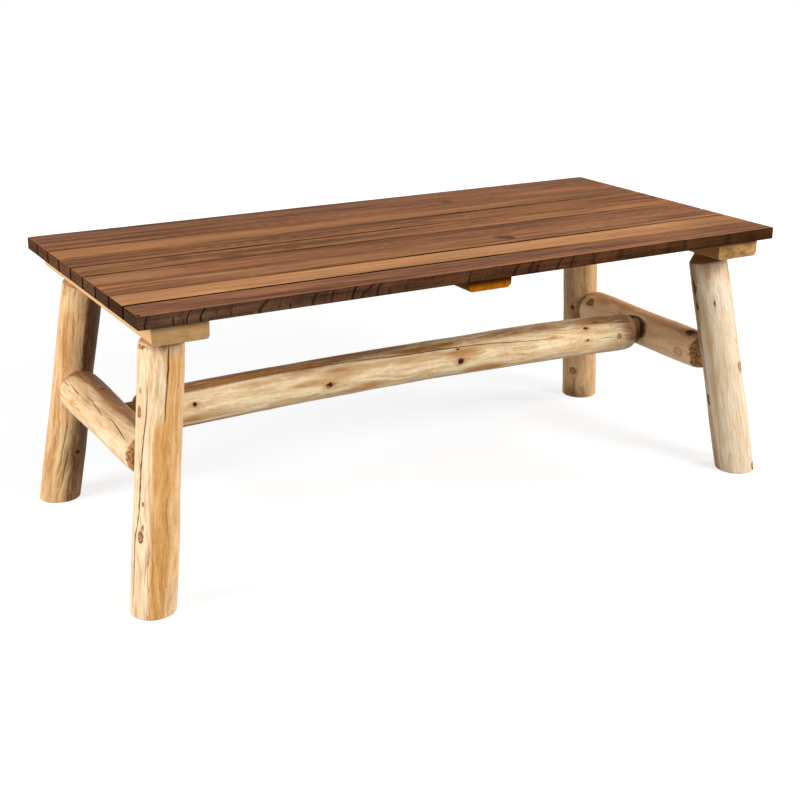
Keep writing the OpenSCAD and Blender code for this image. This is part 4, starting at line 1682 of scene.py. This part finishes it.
@dataclass
class Legs:
    """Four logs that lean out both ways, each on its tenon in an end cleat."""

    cleat_x: float = 0.5405
    line_y: float = 0.198
    underside: float = 0.4355
    splay_x: float = 8.1
    splay_y: float = 7.8
    foot_r: float = 0.0368
    top_r: float = 0.0357
    tenon_r: float = 0.0245

    def leg(self, sx: int, sy: int, finish: LogFinish, seed: int, **features_and_shade: object) -> None:
        """Builds one leg, from the floor up.

        Args:
            sx: -1 for the left end and 1 for the right.
            sy: -1 for the front and 1 for the back.
            finish: Its colours.
            seed: Its own random seed.
            features_and_shade: Its knots, checks, bark, and tones, some of which are painted shade.
        """
        out_x, out_y = (math.tan(math.radians(a)) for a in (self.splay_x, self.splay_y))
        lean = np.array([sx * out_x, sy * out_y, -1])
        foot = np.array([sx * self.cleat_x, sy * self.line_y, self.underside]) + lean * self.underside
        side, row = ("left", "right")[sx > 0], ("front", "back")[sy > 0]
        PeeledLog(
            f"leg_{row}_{side}_peeled", tuple(foot), tuple(-lean), (1, 0, 0),
            float(np.linalg.norm(lean)) * self.underside, self.foot_r, self.top_r, finish, seed,
            End.FOOT, End.SHOULDER, self.tenon_r, **features_and_shade,
        ).build()

    def build(self) -> None:
        """Builds the four legs."""
        self.leg(
            -1, -1, LogFinish("f3dcb6", "c88c4c", "96592a", "d29a52", "7a5230", streak=1.15, thread=0.75,
                              pale=0.68), 11,
            knots=rows(
                Knot, (0.125, 213, 0.008, 0.0048, 0.55), (0.318, 194, 0.008, 0.0045, 0.55),
                (0.177, 215, 0.003, 0.002, 0.5), (0.141, 218, 0.003, 0.0016, 0.6),
                (0.351, 197, 0.004, 0.002, 0.5), (0.26, 40, 0.008, 0.006, 0.9),
            ),
            checks=(
                Check(((0, 184), (0.04, 189), (0.10, 190), (0.125, 192), (0.145, 200), (0.165, 203),
                       (0.22, 204), (0.24, 205), (0.28, 211), (0.31, 217), (0.36, 220)), 0.0011),
                Check(((0.44, 270), (0.38, 268), (0.34, 266), (0.305, 264)), 0.0010),
                Check(((0.05, 60), (0.15, 66), (0.28, 63), (0.37, 70)), 0.0006),
            ),
            bark=rows(Patch, (0.418, 196, 0.006, 26, 0.9), (0.424, 232, 0.004, 20, 0.7)),
            # the negative tones near the top lay the grey as painted shade under the cleat
            tones=rows(
                Patch, (0.3, 260, 0.42, 28, 0.75), (0.08, 254, 0.26, 26, 0.7), (0.26, 286, 0.42, 26, 0.62),
                (0.2, 90, 0.5, 60, 0.4), (0.25, 318, 0.5, 30, 0.4), (0.432, 262, 0.026, 80, -1.2),
                (0.365, 253, 0.09, 22, -1.1), (0.18, 172, 0.6, 24, 0.24),
            ),
        )
        # The dark grey and the negative tones on the right side and at the top are painted shade under the
        # table top and the cleat.
        self.leg(
            -1, 1, LogFinish("ecca98", "b9834c", "7a4e27", grey="6b4424", streak=1.25, thread=0.9,
                             pale=0.58), 12,
            knots=rows(Knot, (0.109, 288, 0.0045, 0.0045, 1.0), (0.3, 60, 0.007, 0.005, 0.8)),
            checks=(
                Check(((0.055, 237), (0.09, 243), (0.13, 247), (0.17, 252)), 0.0003),
                Check(((0.03, 250), (0.07, 256), (0.11, 262)), 0.0003),
                Check(((0.06, 120), (0.2, 126), (0.34, 122)), 0.0007),
            ),
            tones=rows(
                Patch, (0.2, 215, 0.5, 60, 0.22), (0.06, 275, 0.14, 45, -0.4), (0.2, 312, 0.6, 52, -1.1),
                (0.36, 288, 0.16, 30, -0.6), (0.425, 215, 0.05, 80, -0.5),
            ),
        )
        # The dark cut colour paints the shade on the shoulder under the cleat, and the negative tones near
        # the top are painted shade under it too.
        self.leg(
            1, -1, LogFinish("ebdbc2", "cfa56e", "98693a", "cf9e58", "96642e", "74492a", 0.85, 0.65, 0.7,
                             bark="2e1a0c", crumb="7a5230"), 13,
            knots=rows(
                Knot, (0.345, 232, 0.006, 0.0016, 0.75), (0.208, 296, 0.011, 0.0075, 0.5),
                (0.004, 297, 0.007, 0.005, 0.6), (0.17, 70, 0.007, 0.005, 0.9),
            ),
            checks=(Check(((0.08, 30), (0.2, 24), (0.39, 28)), 0.0008),),
            bark=rows(
                Patch, (0.378, 172, 0.024, 16, 1.0), (0.34, 176, 0.015, 11, 0.8),
                (0.15, 166, 0.018, 11, 0.9),
            ),
            tones=rows(
                Patch, (0.15, 176, 0.6, 50, -0.58), (0.33, 176, 0.12, 34, -0.4),
                (0.41, 210, 0.05, 60, -0.5), (0.05, 240, 0.12, 24, 0.3), (0.415, 292, 0.045, 56, -0.42),
                (0.22, 194, 0.30, 27, 0.95), (0.30, 310, 0.16, 34, -0.3),
            ),
        )
        self.leg(
            1, 1, LogFinish("e4c192", "b98753", "74502c", grey="6b4524", streak=0.9, pale=0.58), 14,
            knots=rows(
                Knot, (0.075, 212, 0.009, 0.0075, 0.4), (0.233, 208, 0.0042, 0.004, 1.0),
                (0.36, 90, 0.007, 0.005, 0.7),
            ),
            checks=(Check(((0.1, 150), (0.22, 144), (0.36, 148)), 0.0006),),
            tones=rows(
                Patch, (0.2, 210, 0.5, 50, 0.2), (0.0, 212, 0.07, 66, -1.0), (0.27, 212, 0.17, 70, -0.55)
            ),
        )


@dataclass
class Stretchers:
    """Two end stretchers and the bowed long one between them."""

    left_x: float = 0.570
    right_x: float = 0.5707
    left_z: float = 0.228
    right_z: float = 0.223
    left_root: float = 0.1863
    right_root: float = 0.18705
    back_r: float = 0.0385
    front_r: float = 0.035
    long_r: float = 0.03675
    long_half: float = 0.5253
    long_bow: float = 0.010
    long_rise: float = 0.0025
    long_tenon: float = 0.054
    long_ring: float = 0.0030

    def end_rail(
        self, side: str, x: float, z: float, root: float, finish: LogFinish, seed: int, **features_and_shade: object
    ) -> None:
        """Builds one end stretcher, from the front to the back.

        Args:
            side: The end of the table that it is at.
            x: Its place along the table.
            z: Height of its axis.
            root: Distance from its middle to a tenon's root.
            finish: Its colours.
            seed: Its own random seed.
            features_and_shade: Its knots, checks, bark, and tones, some of which are painted shade.
        """
        PeeledLog(
            f"end_stretcher_{side}_peeled", (x, -root, z), (0, 1, 0), (0, 0, 1), 2 * root, self.front_r,
            self.back_r, finish, seed, **features_and_shade,
        ).build()

    def build(self) -> None:
        """Builds the three stretchers."""
        # The dark warm colour laid on top is painted shade under the table top.
        self.end_rail(
            "left", -self.left_x, self.left_z, self.left_root,
            LogFinish("f1d9b0", "c68e4c", "87562b", "8a5828", pale=0.66, thread=0.75), 21,
            knots=rows(Knot, (0.243, 8, 0.006, 0.005, 0.7), (0.12, 120, 0.006, 0.005, 0.8)),
            checks=(
                Check(((0.03, 309), (0.06, 316), (0.095, 322), (0.132, 325)), 0.0006),
                Check(((0.148, 314), (0.18, 319), (0.205, 322), (0.24, 325)), 0.0005),
                Check(((0.268, 311), (0.30, 314), (0.318, 318)), 0.0005),
                Check(((0.328, 310), (0.355, 311)), 0.0004),
            ),
            bark=rows(Patch, (0.002, 285, 0.013, 42, 1.0), (0.006, 320, 0.009, 25, 0.5)),
            tones=rows(
                Patch, (0.22, 9, 0.6, 36, 0.95), (0.36, 345, 0.05, 30, 0.5), (0.34, 20, 0.2, 40, 0.6),
                (0.24, 320, 0.5, 28, 0.42), (0.37, 345, 0.03, 60, 0.6),
            ),
        )
        # The near-black grey under the strong negative tone paints the shade round the joint of the long
        # stretcher.
        self.end_rail(
            "right", self.right_x, self.right_z, self.right_root,
            LogFinish("ffdcae", "e8a560", "8a5f36", "b8804a", "38220f", pale=0.76, thread=0.7,
                      bark="331c0c", crumb="b98c5a"), 22,
            knots=rows(
                Knot, (0.034, 341, 0.013, 0.009, 0.9), (0.043, 262, 0.011, 0.0085, 0.04),
                (0.337, 307, 0.010, 0.0075, 0.62),
            ),
            checks=(Check(((0.05, 100), (0.15, 96), (0.3, 103)), 0.0006),),
            bark=rows(Patch, (0.001, 290, 0.021, 56, 1.0), (0.008, 230, 0.012, 30, 0.8)),
            tones=rows(
                Patch, (0.19, 350, 0.5, 42, 0.66), (0.188, 286, 0.048, 48, -2.6), (0.33, 338, 0.12, 40, 0.4)
            ),
        )
        rise = (self.right_z - self.left_z) / (self.left_x + self.right_x)
        along = Vector((1, 0, rise)).normalized()
        middle = Vector(((self.right_x - self.left_x) / 2, 0, (self.left_z + self.right_z) / 2))
        start = middle - along * self.long_half + Vector((0, 0, self.long_rise))
        # The dark cut colour paints the shade on the tenon in its joint; the negative tones on top and at
        # the right dome are painted shade under the table top and next to the end stretcher.
        PeeledLog(
            "long_stretcher_peeled", tuple(start), tuple(along), (0, 0, 1), 2 * self.long_half,
            self.long_r, self.long_r,
            LogFinish("f6e1b8", "c8914f", "8a5a2c", "b67a38", "8e5a28", "3a2210", pale=0.66, thread=0.7,
                      fleck=0.6, mottle=0.2),
            23, tenon_l=self.long_tenon, bow=self.long_bow, ring=self.long_ring,
            knots=rows(
                Knot, (0.091, 73, 0.004, 0.0037, 1.0), (0.347, 92, 0.0055, 0.0047, 0.9),
                (0.623, 89, 0.006, 0.0056, 0.9), (0.918, 47, 0.005, 0.0026, 1.0),
                (0.919, 84, 0.0025, 0.002, 0.9), (0.948, 30, 0.006, 0.002, 0.8),
                (0.997, 85, 0.0055, 0.0052, 0.32), (0.620, 53, 0.003, 0.002, 0.8),
                (0.25, 240, 0.007, 0.006, 0.9), (0.7, 280, 0.007, 0.006, 0.9),
            ),
            checks=(
                Check(((0.235, 25), (0.30, 27), (0.37, 31), (0.42, 36), (0.50, 43), (0.56, 44),
                       (0.62, 45), (0.70, 50), (0.74, 57), (0.80, 62), (0.87, 65)), 0.0007),
                Check(((0.945, 85), (0.96, 84), (0.985, 85)), 0.0003),
                Check(((1.008, 85), (1.03, 86)), 0.0003),
                Check(((0.15, 200), (0.4, 206), (0.8, 203)), 0.0006),
            ),
            tones=rows(
                Patch, (0.27, 8, 0.40, 48, -1.1), (0.86, 24, 0.3, 26, -0.6), (0.37, 56, 0.08, 34, 0.62),
                (0.98, 12, 0.10, 34, -0.8), (0.68, 132, 0.07, 26, 0.9), (0.56, 62, 0.16, 18, 0.5),
                (0.64, 70, 0.05, 26, 0.5), (0.10, 118, 0.10, 24, 0.7), (0.10, 140, 0.10, 24, -0.7),
                (0.42, 122, 0.06, 20, 0.8), (0.12, 42, 0.12, 16, 0.5), (0.93, 62, 0.07, 18, 0.4),
                (1.045, 50, 0.055, 95, -1.0), (0.5, 150, 1.0, 16, -0.3), (0.30, 78, 0.05, 14, 0.6),
                (0.56, 36, 0.12, 18, -0.6), (0.10, 24, 0.12, 22, -0.9), (0.225, 46, 0.08, 18, 0.5),
                (0.76, 66, 0.18, 26, -0.3),
            ),
        ).build()


# Studio


@dataclass
class Studio:
    """Camera, soft lamps, pale floor and white surroundings."""

    camera_at: Triple = (-1.199154, -2.109362, 1.026793)
    camera_turn: Triple = (70.455, 0.0, -29.349)
    lens: float = 61.243
    sensor: float = 36.0
    sight: float = 60.0
    aim: Triple = (0, 0, 0.25)
    floor: float = 14.0
    floor_z: float = -0.0002
    world: float = 0.22
    floor_grey: float = 0.36
    lift: tuple[float, float] = (0.72, 1.0)
    near: float = 1.1
    far: float = 2.8

    def build(self) -> None:
        """Sets up everything that isn't the table."""
        self.camera()
        self.surroundings()
        self.ground()
        self.lamp("key_left", (-3.3, -0.1, 1.35), (1.5, 2.3), 106)
        self.lamp("front_right", (1.4, -3.2, 2.2), (1.4, 1.4), 128)
        self.lamp("right", (3.2, -0.9, 1.8), (1.2, 1.2), 46)
        self.lamp("soft_top", (0.0, 0.8, 3.0), (2.2, 2.2), 6)
        bpy.context.scene.view_settings.view_transform = "Standard"

    def camera(self) -> None:
        """Stands the camera at the photograph's viewing point."""
        select_only()
        turn = tuple(math.radians(a) for a in self.camera_turn)
        bpy.ops.object.camera_add(location=self.camera_at, rotation=turn)
        camera = bpy.context.active_object
        camera.name = "camera"
        camera.data.lens = self.lens
        camera.data.sensor_width = self.sensor
        camera.data.clip_end = self.sight
        bpy.context.scene.camera = camera

    def lamp(self, name: str, place: Triple, size: tuple[float, float], power: float) -> None:
        """Hangs one soft lamp that looks at the table's middle.

        Args:
            name: Name of the lamp.
            place: Where it hangs.
            size: Width and height of its face.
            power: Its power in watts.
        """
        select_only()
        turn = (Vector(self.aim) - Vector(place)).to_track_quat("-Z", "Y").to_euler()
        bpy.ops.object.light_add(type="AREA", location=place, rotation=turn)
        lamp = bpy.context.active_object
        lamp.name = name
        lamp.data.shape = "RECTANGLE"
        lamp.data.size, lamp.data.size_y = size
        lamp.data.energy = power

    def surroundings(self) -> None:
        """Gives an even pale light, and pure white where the camera looks past the table."""
        world = bpy.data.worlds.new("studio")
        bpy.context.scene.world = world
        s = Shader(world)
        inputs = {"Value": s.seen(), "To Min": self.world, "To Max": 1.0}
        sky = {"Color": WHITE, "Strength": s.node("ShaderNodeMapRange", inputs=inputs)}
        surface = s.node("ShaderNodeBackground", inputs=sky)
        s.node("ShaderNodeOutputWorld", inputs={"Surface": surface})

    def ground(self) -> None:
        """Lays the pale floor, lifted to white for the camera but still holding a soft shadow."""
        select_only()
        bpy.ops.mesh.primitive_plane_add(size=self.floor, location=(0, 0, self.floor_z))
        floor = name_piece("studio_floor")
        s = Shader(bpy.data.materials.new("studio_floor"))
        reach = s.node("ShaderNodeVectorMath", {"operation": "LENGTH"}, {0: s.place()}, "Value")
        names = ("Value", "From Min", "From Max", "To Min", "To Max")
        inputs = dict(zip(names, (reach, self.near, self.far, *self.lift)))
        lift = s.node("ShaderNodeMapRange", {"interpolation_type": "SMOOTHSTEP"}, inputs)
        surface = s.node("ShaderNodeBsdfPrincipled", inputs={
            "Base Color": (self.floor_grey, self.floor_grey, self.floor_grey, 1.0), "Roughness": 0.9,
            "Specular IOR Level": 0.1, "Emission Strength": 1.0,
            "Emission Color": s.seen() * Number(s, lift),
        })
        s.node("ShaderNodeOutputMaterial", inputs={"Surface": surface})
        floor.data.materials.append(s.owner)


def main() -> None:
    """Builds the studio and the table, piece by piece."""
    logging.basicConfig(level=logging.INFO, format="%(name)s: %(message)s")
    for part in (Studio(), PlankTop(), Cleats(), Legs(), Stretchers()):
        part.build()


if __name__ == "__main__":
    main()
